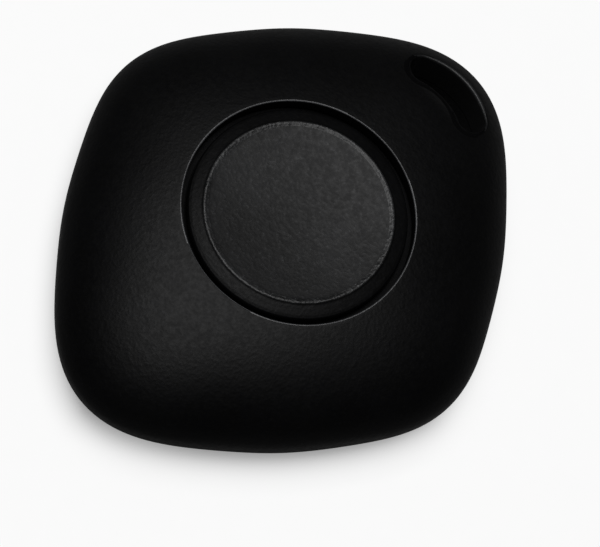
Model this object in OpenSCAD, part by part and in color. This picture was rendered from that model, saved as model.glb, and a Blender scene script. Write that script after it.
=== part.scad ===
// Bluetooth key finder: two pebble-shaped covers round a coin cell and a small
// circuit board, with one large round button that presses a tact switch.
// The origin is the centre of the flat rear face. +Z points out through the button
// and +Y points to the corner with the key ring slot.

/* [Body] */
// Length over the two far corners
body_l = 46.7; // [46.2:0.1:48.5]
// Width over the two near corners
body_w = 40.6; // [40.2:0.1:42]
// Width across the four gentle sides
side_w = 38.5; // [38.2:0.1:39.6]
// Height of the widest line above the rear face
waist_h = 4.5; // [4.4:0.05:4.8]
// Rise of the dome above the widest line, at its crown
dome_h = 6.56; // [6.5:0.02:7]
// Fullness of the dome's curve, where 2 is an ellipse
dome_power = 2.13; // [2.05:0.01:2.3]
// Fullness of the rear edge's curve
rear_power = 2.3; // [2.2:0.05:2.6]
// Width of the flat ring that the finder lies on, round the battery door
foot_w = 1.5; // [1.3:0.05:1.9]
// Wall of both covers
wall = 1.4; // [1.3:0.05:1.5]
// Height of the seam between the covers
seam_h = 3.3; // [3.25:0.05:3.5]

/* [Button] */
// Hole in the front cover
hole_d = 20; // [19.6:0.1:20.2]
// Visible gap round the button
button_gap = 0.55; // [0.45:0.05:0.7]
// Diameter of the crest ring, where the flank meets the thumb dish
crest_d = 15.9; // [15.2:0.1:16.4]
// Depth of the thumb dish
dish_depth = 0.28; // [0.2:0.02:0.4]
// Fall of the flank from the crest to the button's edge
flank_fall = 0.45; // [0.2:0.05:0.5]
// How far the crest lies under the edge of the hole
crest_sink = 0.06; // [0:0.02:0.2]
// How far the button can be pressed
button_travel = 0.3; // [0.2:0.05:0.3]

/* [Key ring slot] */
// Width of the slot
slot_w = 2.4; // [2.2:0.1:2.6]
// Outer bend radius of the slot
slot_bend_r = 6.85; // [6.5:0.05:7.2]
// Half of the angle that the slot sweeps, to the centres of its round ends
slot_sweep = 34; // [28:1:36]
// Bridge of plastic between the slot and the corner
bridge_w = 2.2; // [2.1:0.05:2.5]
// Wall round the slot, inside the covers
slot_wall = 1; // [0.8:0.05:1.1]
// Radius of the thumb scoop that leads into the slot
scoop_r = 9; // [8:0.5:10]

/* [Battery] */
// Diameter of the coin cell
cell_d = 20; // [19.8:0.1:20.1]
// Height of the coin cell
cell_h = 3.2; // [3:0.05:3.2]
// Overhang of the battery door's plate past its spigot
door_lip = 1.05; // [0.95:0.05:1.15]
// Thickness of the battery door's plate
door_t = 1.1; // [1:0.05:1.15]
// Angle that the battery door turns to unlock
door_turn = 30; // [26:1:32]

/* [Circuit board] */
// Thickness of the circuit board
board_t = 0.8; // [0.6:0.05:0.9]
// Space between the cell and the board, for the spring contact
contact_h = 0.95; // [0.9:0.01:1]
// Gap between the board's edge and the front cover
board_gap = 0.3; // [0.2:0.05:0.5]
// Diameter of the board screws' shanks
screw_d = 1.4; // [1.2:0.05:1.5]
// Diameter of the board screws' heads
screw_head_d = 2.6; // [2.4:0.05:2.7]
// Length of the board screws' shanks
screw_l = 2.6; // [2.4:0.05:2.8]

/* [Sounder] */
// Room between the square sounder and the tip of the front cover
buzzer_tip_gap = 1.85; // [1.8:0.05:2.2]
// Height of the sounder
buzzer_h = 2.2; // [2:0.05:2.2]
// Diameter of one sound hole
sound_hole_d = 1; // [0.8:0.05:1.1]
// Distance between sound holes
sound_pitch = 1.9; // [1.7:0.05:2]

/* [Hidden] */

$fn = 64;
// Facets round each skin, and rings up each curve
facets = 72;
dome_rings = 9;
rear_rings = 6;
seam_rings = 2;
// Overrun of every cut, and the smallest gap between pieces that touch
over = 1;
touch = 0.02;
// Running gap of pieces that turn or slide in each other
run = 0.1;

// The outline is a circle with a two-fold and a four-fold wave, and a share of
// each comes back at a higher count, which squares the corners a little.
lean_share = 0.09;
corner_share = 0.15;
half_l = body_l / 2;
half_w = body_w / 2;
half_s = side_w / 2;
wave_2 = (half_l - half_w) / 2 / (1 + lean_share);
wave_4 = ((half_l + half_w) / 2 - half_s) / 2;
mean_r = ((half_l + half_w) / 2 + half_s) / 2 - corner_share * wave_4;
hole_r = hole_d / 2;
// The skin's flat cap inside the button hole, as a share of the mean radius
crown_share = 0.35;
// The foot of an inner skin is drawn in by this share of the wall
foot_inset_share = 0.5;

// Heights of the stack, from the rear face up
door_recess = 0.1;
cell_lift = 0.05;
door_floor = door_recess + door_t;
cell_z = door_floor + cell_lift;
cell_top = cell_z + cell_h;
board_z = cell_top + contact_h;
board_top = board_z + board_t;

// Button
button_r = hole_r - button_gap;
crest_r = crest_d / 2;
rim_z = dome_z(hole_r / mean_r, 0);
crest_z = rim_z - crest_sink;
rim_break = 0.1;
button_wall = 1.1;
edge_break = 0.15;
flange_lip = 1.15;
flange_r = button_r + flange_lip;
flange_t = 0.6;
flange_gap = 0.25;
flange_top = dome_z(dome_share(flange_r, half_s, wall), wall) - flange_gap;
flange_z = flange_top - flange_t;
guide_r = flange_r + run;
guide_wall = 0.9;
guide_out_r = guide_r + guide_wall;
guide_z = flange_z - button_travel - run;
// Keys on the button's flange slide in notches of the guide ring and stop it turning
key_turns = [45, 165, 285];
key_w = 2;
key_l = 0.7;
key_t = 0.35;
key_play = 0.1;
// Ribs under the button's roof
rib_w = 0.6;
rib_h = 0.5;
rib_turns = [0, 60, 120];

// Tact switch
switch_w = 4.5;
switch_h = 1;
switch_plate_t = 0.15;
switch_pit_d = 3.4;
switch_floor_t = 0.2;
terminal_l = 0.7;
terminal_w = 0.6;
terminal_t = 0.2;
terminal_pitch = 3;
plunger_d = 2.2;
plunger_flange_d = 3;
plunger_flange_t = 0.3;
plunger_rise = 0.55;
plunger_top = board_top + switch_h + switch_plate_t + plunger_rise;
plunger_flange_top = board_top + switch_h - touch;
dome_t = 0.08;
post_d = 3.6;
pad_t = 0.4;
pad_d = 3.2;
pad_z = plunger_top + touch;

// Key ring slot
slot_r = slot_bend_r - slot_w / 2;
corner_y = half_l - bridge_w - slot_bend_r;
scoop_depth = 0.9;
scoop_reach = 3;

// Battery door
spigot_gap = 0.25;
spigot_r = cell_d / 2 + spigot_gap;
spigot_wall = 1.1;
spigot_out_r = spigot_r + spigot_wall;
door_r = spigot_out_r + door_lip;
foot_r = door_r + run + foot_w;
seal_t = 0.5;
seal_play = 0.03;
ledge_t = 0.7;
ledge_z = door_floor + seal_t + seal_play;
ledge_top = ledge_z + ledge_t;
ledge_r = spigot_out_r + run;
lug_gap = 0.06;
lug_t = 0.65;
lug_z = ledge_top + lug_gap;
lug_top = lug_z + lug_t;
lug_r = door_r - run;
lug_angle = 22;
lug_play = 3;
door_ring_wall = 0.9;
door_ring_r = door_r + run + door_ring_wall;
lug_turns = [90, 210, 330];
stop_angle = 5;
stop_h = 0.5;
stop_play = 0.5;
coin_slot_l = 13;
coin_slot_w = 1.9;
coin_slot_depth = 0.6;
door_break = 0.15;

// Coin cell
can_t = 0.25;
can_corner_r = 0.5;
cap_margin = 1.15;
cap_d = cell_d - 2 * cap_margin;
cap_t = 0.25;
cap_rise = 0.2;
gasket_w = 0.3;

// Cell holder and contacts
holder_play = 0.2;
holder_lift = 0.3;
holder_lip = 0.7;
holder_r = cell_d / 2 + holder_play;
holder_wall = 0.9;
holder_z = max(lug_top, cell_z + cell_h / 2) + holder_lift;
holder_flange_t = 0.4;
holder_flange_r = holder_r + holder_wall + holder_lip;
leaf_t = 0.15;
leaf_w = 3;
leaf_play = 0.3;
window_w = leaf_w + 2 * leaf_play;
leaf_turn = 135;
leaf_foot_l = 2.2;
blade_l = 13;
blade_w = 2.6;
blade_foot_l = 2.5;
blade_tip_l = 2;
blade_tip_rise = 0.2;
peg_d = 1;
peg_inset = 0.2;
peg_r = holder_flange_r - peg_d / 2 - peg_inset;
peg_turns = [30, 250];

// Board screws
boss_r = 1.5;
screw_head_t = 0.8;
hole_play = 0.1;
thread_play = 0.025;
boss_floor_t = 0.5;
cross_l_share = 0.6;
cross_w_share = 0.16;
screw_turns = [62, 184, 356];
screws = [for (a = screw_turns) screw_r(a) * [cos(a), sin(a)]];

// Sounder
buzzer_space = 0.5;
buzzer_w = skin_r(270, board_z, wall) - buzzer_tip_gap - lug_r - buzzer_space;
buzzer_y = -(lug_r + buzzer_space + buzzer_w / 2);
buzzer_z = board_z - buzzer_h;
buzzer_wall = 0.4;
buzzer_chamfer = 0.8;
port_d = 2;
plate_lift = 0.15;
plate_t = 0.12;
// Coil and magnet as shares of the room inside the sounder's case
core_share = 0.25;
coil_share = 0.7;
magnet_in_share = 0.76;
magnet_out_share = 0.94;
buzzer_in_d = buzzer_w - 2 * buzzer_wall;
core_rise = 0.1;
core_t = 0.15;
coil_h = 1.2;
sound_ring_out_r = buzzer_w / 2 + run;
// Inner radius of the sound ring as a share of its outer one
sound_ring_share = 0.8;
sound_ring_r = sound_ring_out_r * sound_ring_share;
gasket_t = 0.5;
sound_ring_top = buzzer_z - gasket_t;
mesh_t = 0.15;
sound_holes = [[0, 0], [1, 0], [-1, 0], [0, 1], [0, -1]] * sound_pitch;

// Locating lip under the front cover, in a groove of the rear cover
lip_in = 1.05;
lip_t = 0.55;
lip_h = 0.6;
lip_gap = 0.05;
lip_root = 0.8;
lip_clear_r = slot_bend_r + slot_wall;

// Small parts on the board: place, turn and size
chip_size = [6, 6, 0.9];
chip_at = [8.2, 5.2];
crystal_size = [3.2, 2.5, 0.7];
crystal_at = [8.6, 10.1];
clock_size = [3.2, 1.5, 0.75];
clock_at = [2.7, 8.2];
antenna_size = [5.2, 2, 1.1];
antenna_turn = 135;
antenna_r = skin_r(antenna_turn, board_top + antenna_size.z, wall) - board_gap - antenna_size.y / 2;
inductor_size = [2.5, 2, 1.1];
inductor_at = [-7.6, 4.2];
cap_size = [1.6, 0.8, 0.8];
res_size = [1.6, 0.8, 0.45];
cap_places = [[13, 7.2, 90], [3.6, 3.6, 0], [3.6, 5.4, 0], [5.2, 10.6, 90], [-4, 8.6, 0],
    [-4, 10.2, 0], [-7.6, 7, 0], [8.6, -3.2, 0], [10.8, -5.2, 90]];
res_places = [[-9.2, -4, 90], [-7.4, -4, 90], [-5.6, -5.4, 90], [6.4, -6.4, 0], [6.4, -8, 0],
    [12.4, 3.4, 90]];

// Radius of the outline at angle a, anticlockwise from +X
function outline_r(a) =
    mean_r - wave_2 * (cos(2 * a) + lean_share * cos(6 * a))
    + wave_4 * (cos(4 * a) + corner_share * cos(8 * a));

// Height of the dome's skin where its radius is the given share of the full one
function dome_z(share, inset) =
    waist_h + (dome_h - inset) * (1 - share ^ dome_power) ^ (1 / dome_power);

// Radius of the dome's skin at angle a: round at the button hole, and the full
// outline at the widest line
function dome_r(a, share, inset) =
    let (hub = hole_r / (mean_r - inset))
    share <= hub ? share * (mean_r - inset)
    : hole_r + (share - hub) / (1 - hub) * (outline_r(a) - inset - hole_r);

// Radius of a skin at angle a and height z, on the dome or on the rear edge
function skin_r(a, z, inset) =
    z >= waist_h
    ? dome_r(a, (1 - ((z - waist_h) / (dome_h - inset)) ^ dome_power) ^ (1 / dome_power), inset)
    : rear_r(a, (1 - ((waist_h - z) / (waist_h - inset)) ^ rear_power) ^ (1 / rear_power), inset);

function rear_r(a, share, inset) =
    let (foot = foot_r - foot_inset_share * inset)
    foot + share * (outline_r(a) - inset - foot);

function ring(z, radii) =
    [for (i = [0:facets - 1]) let (a = i * 360 / facets)
        [radii[i] * cos(a), radii[i] * sin(a), z]];

// s runs from 0 at the widest line to 90 at the crown
function dome_ring(s, inset) =
    ring(waist_h + (dome_h - inset) * sin(s) ^ (2 / dome_power),
        [for (i = [0:facets - 1]) dome_r(i * 360 / facets, cos(s) ^ (2 / dome_power), inset)]);

// s runs from 0 at the widest line to 90 at the rear face
function rear_ring(s, inset) =
    ring(waist_h - (waist_h - inset) * sin(s) ^ (2 / rear_power),
        [for (i = [0:facets - 1]) rear_r(i * 360 / facets, cos(s) ^ (2 / rear_power), inset)]);

// The value of s where the rear edge's skin crosses height z
function rear_s(z, inset) = asin(((waist_h - z) / (waist_h - inset)) ^ (rear_power / 2));

function front_rings(inset, z) =
    let (s_seam = rear_s(z, inset), s_top = acos(crown_share ^ (dome_power / 2)))
    concat([for (i = [seam_rings:-1:1]) rear_ring(s_seam * i / seam_rings, inset)],
        [for (i = [0:dome_rings]) dome_ring(s_top * i / dome_rings, inset)]);

function rear_rings_to(inset, z) =
    let (s_seam = rear_s(z, inset))
    [for (i = [rear_rings:-1:0]) rear_ring(s_seam + (90 - s_seam) * i / rear_rings, inset)];

// One closed solid through a list of rings with equal counts
module loft(rings) {
    n = len(rings[0]);
    m = len(rings);
    polyhedron(
        points = [for (r = rings) each r],
        faces = concat(
            [[for (i = [0:n - 1]) i]],
            [for (j = [0:m - 2]) for (i = [0:n - 1])
                let (k = (i + 1) % n, a = j * n + i, b = j * n + k, c = a + n, d = b + n)
                each [[a, c, d], [a, d, b]]],
            [[for (i = [n - 1:-1:0]) (m - 1) * n + i]]));
}

module tube(r_in, r_out, z, h) {
    translate([0, 0, z])
        difference() {
            cylinder(r = r_out, h = h);
            translate([0, 0, -over])
                cylinder(r = r_in, h = h + 2 * over);
        }
}

module block(size) {
    translate([-size.x / 2, -size.y / 2, 0])
        cube(size);
}

// The key ring slot as a bent bar with round ends, wider by grow all round
module slot_bar(grow, z, h) {
    translate([0, corner_y, z]) {
        rotate([0, 0, 90 - slot_sweep])
            rotate_extrude(angle = 2 * slot_sweep)
                translate([slot_r - slot_w / 2 - grow, 0])
                    square([slot_w + 2 * grow, h]);
        for (side = [-1, 1])
            rotate([0, 0, side * slot_sweep])
                translate([0, slot_r, 0])
                    cylinder(d = slot_w + 2 * grow, h = h);
    }
}

// The scoop is a ball that dips into the dome along the slot's inner edge
module scoop() {
    edge_y = corner_y + slot_r - slot_w / 2;
    start_y = edge_y - scoop_reach;
    edge_z = dome_z(dome_share(edge_y, half_l, 0), 0) - scoop_depth;
    start_z = dome_z(dome_share(start_y, half_l, 0), 0);
    run_l = norm([scoop_reach, start_z - edge_z]);
    lift = sqrt(scoop_r ^ 2 - (run_l / 2) ^ 2);
    intersection() {
        translate([0, (start_y + edge_y) / 2 + lift * (start_z - edge_z) / run_l,
            (start_z + edge_z) / 2 + lift * scoop_reach / run_l])
            sphere(r = scoop_r);
        translate([0, corner_y, waist_h])
            cylinder(r = slot_bend_r, h = dome_h + over);
    }
}

// Share of the dome's full radius that lies at radius r, where the outline is full_r
function dome_share(r, full_r, inset) =
    let (hub = hole_r / (mean_r - inset))
    hub + (r - hole_r) / (full_r - inset - hole_r) * (1 - hub);

// The screws stand midway between the round pieces and the cover's wall
function screw_r(a) = (max(guide_out_r, holder_flange_r) + skin_r(a, board_top, wall)) / 2;

module lip_ring(in, t, z, h) {
    translate([0, 0, z])
        linear_extrude(h)
            difference() {
                polygon(outline_points(seam_h, in));
                polygon(outline_points(seam_h, in + t));
                translate([0, corner_y])
                    circle(r = lip_clear_r);
            }
}

// Outline of the outer skin at height z, drawn in by the given amount. Its corners
// lie half a facet off the skins' corners.
function outline_points(z, in) =
    [for (i = [0:facets - 1]) let (a = (2 * i + 1) * 180 / facets, r = skin_r(a, z, 0) - in)
        [r * cos(a), r * sin(a)]];

module screw_bosses() {
    for (p = screws)
        translate([p.x, p.y, board_top])
            cylinder(r = boss_r, h = dome_h);
}

module front_cover() {
    color("#1b1c1e") {
        difference() {
            loft(front_rings(0, seam_h));
            difference() {
                loft(front_rings(wall, seam_h - over));
                tube(guide_r, guide_out_r, guide_z, dome_h);
                screw_bosses();
                slot_bar(slot_wall, seam_h - over, waist_h + dome_h);
            }
            translate([0, 0, waist_h])
                cylinder(r = hole_r, h = dome_h + over);
            translate([0, 0, rim_z - rim_break])
                cylinder(r1 = hole_r, r2 = hole_r + 2 * rim_break, h = 2 * rim_break);
            slot_bar(0, seam_h - over, waist_h + dome_h);
            scoop();
            guide_notches();
            for (p = screws)
                translate([p.x, p.y, board_top - over])
                    cylinder(d = screw_d + 2 * thread_play, h = screw_l - board_t + over + boss_floor_t);
        }
        lip_ring(lip_in, lip_t, seam_h - lip_h, lip_h + lip_root);
    }
}

module rear_cover() {
    color("#1b1c1e") {
        lug_stops();
        difference() {
            loft(rear_rings_to(0, seam_h));
            difference() {
                loft(rear_rings_to(wall, waist_h));
                cylinder(r = door_ring_r, h = ledge_top);
                translate([0, buzzer_y, 0])
                    cylinder(r = sound_ring_out_r, h = sound_ring_top);
                slot_bar(slot_wall, -over, seam_h + 2 * over);
            }
            slot_bar(0, -over, seam_h + 2 * over);
            // Counterbore for the door's plate and its seal, then the ledge
            translate([0, 0, -over])
                cylinder(r = door_r + run, h = ledge_z + over);
            translate([0, 0, -over])
                cylinder(r = ledge_r, h = seam_h + 2 * over);
            for (a = lug_turns)
                rotate([0, 0, a - door_turn])
                    sector(lug_r + run, lug_angle + lug_play, ledge_top - ledge_t - over, ledge_t + 2 * over);
            translate([0, buzzer_y, wall])
                cylinder(r = sound_ring_r, h = sound_ring_top);
            for (p = sound_holes)
                translate([p.x, buzzer_y + p.y, -over])
                    cylinder(d = sound_hole_d, h = wall + 2 * over);
            lip_ring(lip_in - lip_gap, lip_t + 2 * lip_gap, seam_h - lip_h - lip_gap, lip_h + over);
        }
    }
}

// A round sector with the given centre angle, centred on +X
module sector(r, angle, z, h) {
    translate([0, 0, z])
        rotate([0, 0, -angle / 2])
            rotate_extrude(angle = angle)
                square([r, h]);
}

// Small blocks on the ledge that stop each lug when locked and when open
module lug_stops() {
    half = (lug_angle + lug_play + stop_angle) / 2;
    for (a = lug_turns)
        for (stop = [a + half, a - door_turn - half - stop_play])
            rotate([0, 0, stop - stop_angle / 2])
                translate([0, 0, ledge_z + touch])
                    rotate_extrude(angle = stop_angle)
                        translate([ledge_r + touch, 0])
                            square([door_ring_r - ledge_r - 2 * run, ledge_t + stop_h]);
}

// Notches through the guide ring, open at its lower edge
module guide_notches() {
    for (a = key_turns)
        rotate([0, 0, a])
            translate([flange_r, -key_w / 2 - key_play, guide_z - over])
                cube([guide_out_r + run - flange_r, key_w + 2 * key_play, flange_z + key_t + key_play - guide_z + over]);
}

module button() {
    edge_z = crest_z - flank_fall;
    roof_z = crest_z - dish_depth - button_wall;
    post_z = pad_z + pad_t;
    dish_r = (crest_r ^ 2 + dish_depth ^ 2) / (2 * dish_depth);
    color("#242628") {
        for (a = key_turns)
            rotate([0, 0, a])
                translate([button_r, -key_w / 2, flange_z])
                    cube([flange_r + key_l - button_r, key_w, key_t]);
        difference() {
            rotate_extrude()
                polygon([
                    [0, flange_z], [flange_r, flange_z], [flange_r, flange_top],
                    [button_r, flange_top], [button_r, edge_z - edge_break],
                    [button_r - edge_break, edge_z], [crest_r, crest_z], [0, crest_z]]);
            translate([0, 0, crest_z - dish_depth + dish_r])
                sphere(r = dish_r, $fn = 200);
            difference() {
                tube(post_d / 2, button_r - button_wall, flange_z - over, roof_z - flange_z + over);
                for (a = rib_turns)
                    rotate([0, 0, a])
                        translate([0, 0, roof_z - rib_h])
                            block([2 * button_r, rib_w, rib_h + over]);
            }
            translate([0, 0, flange_z - over])
                cylinder(d = post_d + over, h = post_z - flange_z + over);
        }
    }
}

module button_pad() {
    color("#50545a")
        translate([0, 0, pad_z])
            cylinder(d = pad_d, h = pad_t - touch);
}

module battery_door() {
    color("#1b1c1e")
        difference() {
            union() {
                rotate_extrude()
                    polygon([
                        [0, door_recess], [door_r - door_break, door_recess],
                        [door_r, door_recess + door_break], [door_r, door_floor],
                        [spigot_out_r, door_floor], [spigot_out_r, lug_top], [0, lug_top]]);
                for (a = lug_turns)
                    rotate([0, 0, a])
                        sector(lug_r, lug_angle, lug_z, lug_t);
            }
            translate([0, 0, door_floor])
                cylinder(r = spigot_r, h = lug_top);
            // Slot for a coin's edge
            translate([0, 0, door_recess - over])
                linear_extrude(over + coin_slot_depth)
                    union() {
                        square([coin_slot_l - coin_slot_w, coin_slot_w], center = true);
                        for (side = [-1, 1])
                            translate([side * (coin_slot_l - coin_slot_w) / 2, 0])
                                circle(d = coin_slot_w);
                    }
        }
}

module door_seal() {
    color("#8a2f22")
        rotate_extrude()
            translate([spigot_out_r + touch + seal_t / 2, door_floor + seal_t / 2])
                circle(d = seal_t);
}

module cell_can() {
    r = cell_d / 2;
    rim_z = cell_top - cap_rise;
    color("#b9bcc0")
        rotate_extrude()
            polygon(concat(
                [[0, cell_z]],
                [for (s = [-90:15:0]) [r - can_corner_r + can_corner_r * cos(s),
                    cell_z + can_corner_r + can_corner_r * sin(s)]],
                [for (s = [0:30:90]) [r - can_corner_r + can_corner_r * cos(s),
                    rim_z - can_corner_r + can_corner_r * sin(s)]],
                [[cap_d / 2 + gasket_w, rim_z], [cap_d / 2 + gasket_w, rim_z - can_t],
                    [r - can_t, rim_z - can_t - can_corner_r], [r - can_t, cell_z + can_t + can_corner_r],
                    [r - can_t - can_corner_r, cell_z + can_t], [0, cell_z + can_t]]));
}

module cell_gasket() {
    color("#d8d4c8")
        tube(cap_d / 2 + touch, cap_d / 2 + gasket_w - touch, cell_z + can_t + touch,
            cell_h - cap_rise - can_t - touch);
}

module cell_cap() {
    color("#c9ccd0")
        rotate_extrude()
            polygon([[0, cell_z + can_t + touch], [cap_d / 2, cell_z + can_t + touch],
                [cap_d / 2, cell_top - cap_t], [cap_d / 2 - cap_t, cell_top], [0, cell_top]]);
}

module cell_holder() {
    color("#3a3c40") {
        difference() {
            rotate_extrude()
                polygon([
                    [holder_r, holder_z], [holder_r + holder_wall, holder_z],
                    [holder_r + holder_wall, board_z - holder_flange_t],
                    [holder_flange_r, board_z - holder_flange_t],
                    [holder_flange_r, board_z], [holder_r, board_z]]);
            rotate([0, 0, leaf_turn])
                translate([holder_r - over, -window_w / 2, holder_z - over])
                    cube([holder_flange_r - holder_r + 2 * over, window_w, board_z - holder_z + 2 * over]);
        }
        for (a = peg_turns)
            rotate([0, 0, a])
                translate([peg_r, 0, board_z - holder_flange_t / 2])
                    cylinder(d = peg_d, h = holder_flange_t / 2 + board_t);
    }
}

// A sprung leaf that hangs from the board and presses on the side of the can
module positive_contact() {
    color("#c8a24a")
        rotate([0, 0, leaf_turn])
            translate([cell_d / 2 + touch, leaf_w / 2, 0])
                rotate([90, 0, 0])
                    linear_extrude(leaf_w)
                        polygon([
                            [0, holder_z], [leaf_t, holder_z], [leaf_t, board_z - leaf_t],
                            [leaf_foot_l, board_z - leaf_t], [leaf_foot_l, board_z],
                            [0, board_z]]);
}

// A sprung blade that runs down from the board and presses on the cell's cap
module negative_contact() {
    low = cell_top + touch;
    high = board_z;
    color("#c8a24a")
        translate([0, blade_w / 2, 0])
            rotate([90, 0, 0])
                linear_extrude(blade_w)
                    polygon([
                        [-blade_l / 2, high], [-blade_l / 2, high - leaf_t],
                        [-blade_l / 2 + blade_foot_l, high - leaf_t], [-blade_tip_l / 2, low],
                        [blade_tip_l / 2, low], [blade_l / 2 - blade_foot_l, low + blade_tip_rise],
                        [blade_l / 2 - blade_foot_l, low + blade_tip_rise + leaf_t],
                        [blade_tip_l / 2, low + leaf_t], [-blade_tip_l / 2, low + leaf_t],
                        [-blade_l / 2 + blade_foot_l + leaf_t, high]]);
}

module circuit_board() {
    color("#1d5a3a")
        difference() {
            translate([0, 0, board_z])
                linear_extrude(board_t)
                    polygon([for (i = [0:facets - 1])
                        let (a = i * 360 / facets, r = skin_r(a, board_top, wall) - board_gap)
                        [r * cos(a), r * sin(a)]]);
            slot_bar(slot_wall + board_gap, board_z - over, board_t + 2 * over);
            translate([0, corner_y + slot_r, board_z - over])
                block([body_w / 2, slot_bend_r, board_t + 2 * over]);
            for (p = screws)
                translate([p.x, p.y, board_z - over])
                    cylinder(d = screw_d + 2 * hole_play, h = board_t + 2 * over);
            for (a = peg_turns)
                rotate([0, 0, a])
                    translate([peg_r, 0, board_z - over])
                        cylinder(d = peg_d + 2 * thread_play, h = board_t + 2 * over);
        }
}

module board_screws() {
    color("#9da1a6")
        for (p = screws)
            translate([p.x, p.y, board_z])
                difference() {
                    union() {
                        translate([0, 0, -screw_head_t])
                            cylinder(d = screw_head_d, h = screw_head_t);
                        cylinder(d = screw_d, h = screw_l);
                    }
                    for (turn = [0, 90])
                        rotate([0, 0, turn])
                            translate([0, 0, -screw_head_t - over])
                                block([screw_head_d * cross_l_share, screw_head_d * cross_w_share,
                                    over + screw_head_t / 2]);
                }
}

module switch_frame() {
    color("#2a2a2c")
        translate([0, 0, board_top])
            difference() {
                block([switch_w, switch_w, switch_h]);
                translate([0, 0, switch_floor_t])
                    cylinder(d = switch_pit_d, h = switch_h);
            }
}

// Four soldered terminals, two on each side of the frame
module switch_terminals() {
    color("#c8a24a")
        for (x = [-1, 1], y = [-1, 1])
            translate([x * (switch_w + terminal_l) / 2 + x * touch, y * terminal_pitch / 2, board_top])
                block([terminal_l, terminal_w, terminal_t]);
}

module switch_dome() {
    z = board_top + switch_floor_t;
    rise = plunger_flange_top - plunger_flange_t - z - touch;
    r = plunger_flange_d / 2;
    color("#c9ccd0")
        rotate_extrude()
            polygon(concat(
                [for (s = [0:15:90]) [r * cos(s), z + rise * sin(s)]],
                [for (s = [90:-15:0]) [(r - dome_t) * cos(s), z + (rise - dome_t) * sin(s)]]));
}

module switch_plunger() {
    color("#e8e4d8") {
        translate([0, 0, plunger_flange_top - plunger_flange_t])
            cylinder(d = plunger_flange_d, h = plunger_flange_t);
        translate([0, 0, plunger_flange_top - plunger_flange_t])
            cylinder(d = plunger_d, h = plunger_top - plunger_flange_top + plunger_flange_t);
    }
}

module switch_cover() {
    color("#b9bcc0")
        translate([0, 0, board_top + switch_h])
            difference() {
                block([switch_w, switch_w, switch_plate_t]);
                translate([0, 0, -over])
                    cylinder(d = plunger_d + 2 * run, h = switch_plate_t + 2 * over);
            }
}

module board_part(at, turn, size) {
    translate([at.x, at.y, board_top])
        rotate([0, 0, turn])
            block(size);
}

module bluetooth_chip() {
    color("#202224")
        board_part(chip_at, 0, chip_size);
}

module main_crystal() {
    color("#b9bcc0")
        board_part(crystal_at, 0, crystal_size);
}

module clock_crystal() {
    color("#c9ccd0")
        board_part(clock_at, 0, clock_size);
}

module chip_antenna() {
    color("#dcdcd8")
        rotate([0, 0, antenna_turn])
            translate([antenna_r, 0, 0])
                board_part([0, 0], 90, antenna_size);
}

module inductor() {
    color("#5a5c60")
        board_part(inductor_at, 0, inductor_size);
}

module capacitors() {
    color("#b08a5c")
        for (p = cap_places)
            board_part([p[0], p[1]], p[2], cap_size);
}

module resistors() {
    color("#26282a")
        for (p = res_places)
            board_part([p[0], p[1]], p[2], res_size);
}

module buzzer_case() {
    w = buzzer_w / 2;
    c = buzzer_chamfer;
    color("#232427")
        translate([0, buzzer_y, buzzer_z])
            difference() {
                linear_extrude(buzzer_h)
                    polygon([[-w, -w], [w, -w], [w, w - c], [w - c, w], [-w, w]]);
                translate([0, 0, buzzer_wall])
                    cylinder(r = w - buzzer_wall, h = buzzer_h);
                translate([0, 0, -over])
                    cylinder(d = port_d, h = 2 * over + buzzer_wall);
            }
}

module buzzer_plate() {
    color("#b9bcc0")
        translate([0, buzzer_y, buzzer_z + buzzer_wall + plate_lift])
            cylinder(r = buzzer_w / 2 - buzzer_wall - touch, h = plate_t);
}

module buzzer_coil() {
    color("#b5673a")
        translate([0, buzzer_y, 0])
            tube(buzzer_in_d * core_share / 2 + touch, buzzer_in_d * coil_share / 2, board_z - core_t - touch - coil_h,
                coil_h);
}

// A post on a thin round base, which carries the coil and the magnet
module buzzer_core() {
    color("#8f9398")
        translate([0, buzzer_y, board_z]) {
            translate([0, 0, -core_t])
                cylinder(d = buzzer_in_d * magnet_out_share, h = core_t - touch);
            translate([0, 0, -core_t - coil_h - core_rise])
                cylinder(d = buzzer_in_d * core_share, h = coil_h + core_rise + core_t - touch);
        }
}

module buzzer_magnet() {
    color("#55585c")
        translate([0, buzzer_y, 0])
            tube(buzzer_in_d * magnet_in_share / 2, buzzer_in_d * magnet_out_share / 2,
                board_z - core_t - touch - coil_h, coil_h);
}

module buzzer_gasket() {
    color("#3c3e42")
        translate([0, buzzer_y, 0])
            tube(sound_ring_r, sound_ring_out_r, sound_ring_top, gasket_t);
}

module sound_mesh() {
    color("#6c7076")
        translate([0, buzzer_y, wall])
            cylinder(r = sound_ring_r - touch, h = mesh_t);
}

front_cover();
rear_cover();
button();
button_pad();
battery_door();
door_seal();
cell_can();
cell_gasket();
cell_cap();
cell_holder();
positive_contact();
negative_contact();
circuit_board();
board_screws();
switch_frame();
switch_terminals();
switch_dome();
switch_plunger();
switch_cover();
bluetooth_chip();
main_crystal();
clock_crystal();
chip_antenna();
inductor();
capacitors();
resistors();
buzzer_case();
buzzer_core();
buzzer_coil();
buzzer_magnet();
buzzer_plate();
buzzer_gasket();
sound_mesh();
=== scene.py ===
import math

import bmesh
import bpy
import numpy as np
from mathutils import Matrix, Vector
from mathutils.geometry import delaunay_2d_cdt


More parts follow.
